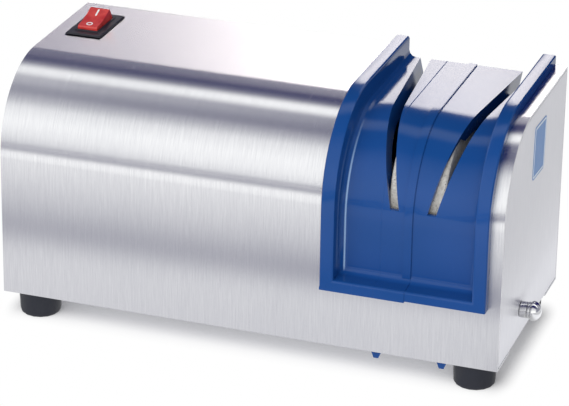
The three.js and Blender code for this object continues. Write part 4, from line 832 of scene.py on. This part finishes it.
# The floor's cards for glossy surfaces: millimetres in front of the housing, and right of it
FLOOR_CARDS_FRONT = [
    (-200, 0.93), (0, 0.93), (25, 0.87), (100, 0.94), (130, 0.29), (165, 0.78), (210, 1.0), (270, 1.3),
    (480, 1.35), (700, 0.36), (1100, 0.36), (2000, 1.6), (2080, 0.2),
]
FLOOR_FRONT_SPAN = (-200, 2100)
FLOOR_TINT = (0.97, 0.98, 0.88)
FLOOR_CARDS_RIGHT = [
    (-12, 1.0), (0, 0.66), (14, 0.85), (30, 1.24), (65, 1.28), (95, 0.8), (160, 0.8), (400, 0.95),
]
FLOOR_RIGHT_SPAN = (-12, 400)
# The open floor turns plain white over this many millimetres, from inside the housing's outline
FLOOR_WHITE_FULL = 30
# Over the housing's length and its depth: how far inside, and how many times faster
FLOOR_WHITE_SIDES = ((6, 2.2), (25, 1.0))


def lay_floor():
    """A pale floor that keeps the shadow. Glossy rays see plain cards that lie on it."""
    work = bmesh.new()
    bmesh.ops.create_grid(work, x_segments=1, y_segments=1, size=FLOOR_HALF)
    mesh = new_mesh("floor", work)
    floor = new_object("floor", mesh)
    material = bpy.data.materials.new("floor_card")
    material.use_nodes = True
    material.cycles.emission_sampling = "NONE"
    mesh.materials.append(material)
    nodes = Nodes(material.node_tree)

    def paper(color):
        node = nodes.new("ShaderNodeBsdfDiffuse")
        nodes.give(color, node.inputs["Color"])
        return node.outputs["BSDF"]

    def glow(color):
        node = nodes.new("ShaderNodeEmission")
        nodes.give(color, node.inputs["Color"])
        return node.outputs["Emission"]

    place = nodes.parts(nodes.coordinates("Object"))
    corner = at(HOUSING_LENGTH, 0, 0)
    in_front = nodes.do("MULTIPLY", nodes.do("SUBTRACT", corner.y, place[1]), 1 / MM)
    to_right = nodes.do("MULTIPLY", nodes.do("SUBTRACT", place[0], corner.x), 1 / MM)
    front_cards = nodes.ramp(in_front, FLOOR_CARDS_FRONT, FLOOR_FRONT_SPAN, FLOOR_TINT, CARD_BLUE)
    right_cards = nodes.ramp(to_right, FLOOR_CARDS_RIGHT, FLOOR_RIGHT_SPAN)
    cards = glow(nodes.mix(1.0, front_cards, right_cards, "MULTIPLY"))

    squares = 0.0
    for way, low, high, (inset, pace) in zip(place, cover_low, cover_high, FLOOR_WHITE_SIDES):
        inner = (high - low) / 2 - inset * MM
        past = nodes.do("SUBTRACT", nodes.off(way, (low + high) / 2), inner)
        past = nodes.do("MULTIPLY", nodes.do("MAXIMUM", past, 0.0), pace)
        squares = nodes.do("ADD", squares, nodes.do("POWER", past, 2.0))
    beyond = nodes.do("SQRT", squares)
    open_floor = nodes.spread(beyond, 0.0, FLOOR_WHITE_FULL * MM, smooth=True)
    seen = nodes.choose(open_floor, paper(FLOOR_SEEN), glow(WHITE))

    rays = nodes.new("ShaderNodeLightPath").outputs
    below = nodes.new("ShaderNodeNewGeometry").outputs["Backfacing"]
    clear = nodes.new("ShaderNodeBsdfTransparent").outputs["BSDF"]
    surface = nodes.choose(rays["Is Glossy Ray"], paper(FLOOR_PAPER), cards)
    surface = nodes.choose(rays["Is Camera Ray"], surface, seen)
    surface = nodes.choose(below, surface, clear)
    nodes.link(surface, nodes.new("ShaderNodeOutputMaterial").inputs["Surface"])


# Each lamp's name, width and height in metres, watts and place in metres
LAMPS = (
    ("main_box", (1.5, 1.1), 8.5, (-0.1, -0.95, 0.95)),
    ("low_front_box", (1.3, 0.5), 7, (0.2, -1.5, 0.45)),
)
LAMP_AIM = (0, 0, 0.08)


def light_studio():
    for name, size, watts, place in LAMPS:
        data = bpy.data.lights.new(name, "AREA")
        data.shape = "RECTANGLE"
        data.size, data.size_y = size
        data.energy = watts
        lamp = new_object(name, data)
        lamp.location = place
        lamp.rotation_mode = "QUATERNION"
        lamp.rotation_quaternion = (Vector(LAMP_AIM) - Vector(place)).to_track_quat("-Z", "Y")
        lamp.visible_glossy = False
        lamp.visible_camera = False


# Camera, solved from the housing's corners in the photograph: degrees round, up and rolled, then
# millimetres back, right and up from the housing's corner, and its lens and sensor in millimetres
CAMERA_AZIMUTH = 18.716
CAMERA_ELEVATION = 23.495
CAMERA_ROLL = 0.9145
CAMERA_BACK = 1818.3
CAMERA_RIGHT = 174.75
CAMERA_UP = 54.64
CAMERA_LENS = 184.72
SENSOR_WIDTH = 36


def place_camera():
    azimuth, elevation, roll = (
        math.radians(angle) for angle in (CAMERA_AZIMUTH, CAMERA_ELEVATION, CAMERA_ROLL)
    )
    back = Vector((
        math.sin(azimuth) * math.cos(elevation),
        -math.cos(azimuth) * math.cos(elevation),
        math.sin(elevation),
    ))
    level_right = Vector((0, 0, 1)).cross(back).normalized()
    level_up = back.cross(level_right)
    right = level_right * math.cos(roll) + level_up * math.sin(roll)
    up = level_up * math.cos(roll) - level_right * math.sin(roll)
    data = bpy.data.cameras.new("camera")
    data.sensor_fit = "HORIZONTAL"
    data.sensor_width = SENSOR_WIDTH
    data.lens = CAMERA_LENS
    camera = new_object("camera", data)
    place = at(*(back * CAMERA_BACK + right * CAMERA_RIGHT + up * CAMERA_UP))
    camera.matrix_world = Matrix.Translation(place) @ Matrix((right, up, back)).transposed().to_4x4()
    bpy.context.scene.camera = camera


def write_sizes():
    bpy.context.view_layer.update()


bpy.context.scene.view_settings.view_transform = "Standard"
place_camera()
light_world()
lay_floor()
light_studio()
dress_cad()
make_label()
make_rocker_marks()
write_sizes()
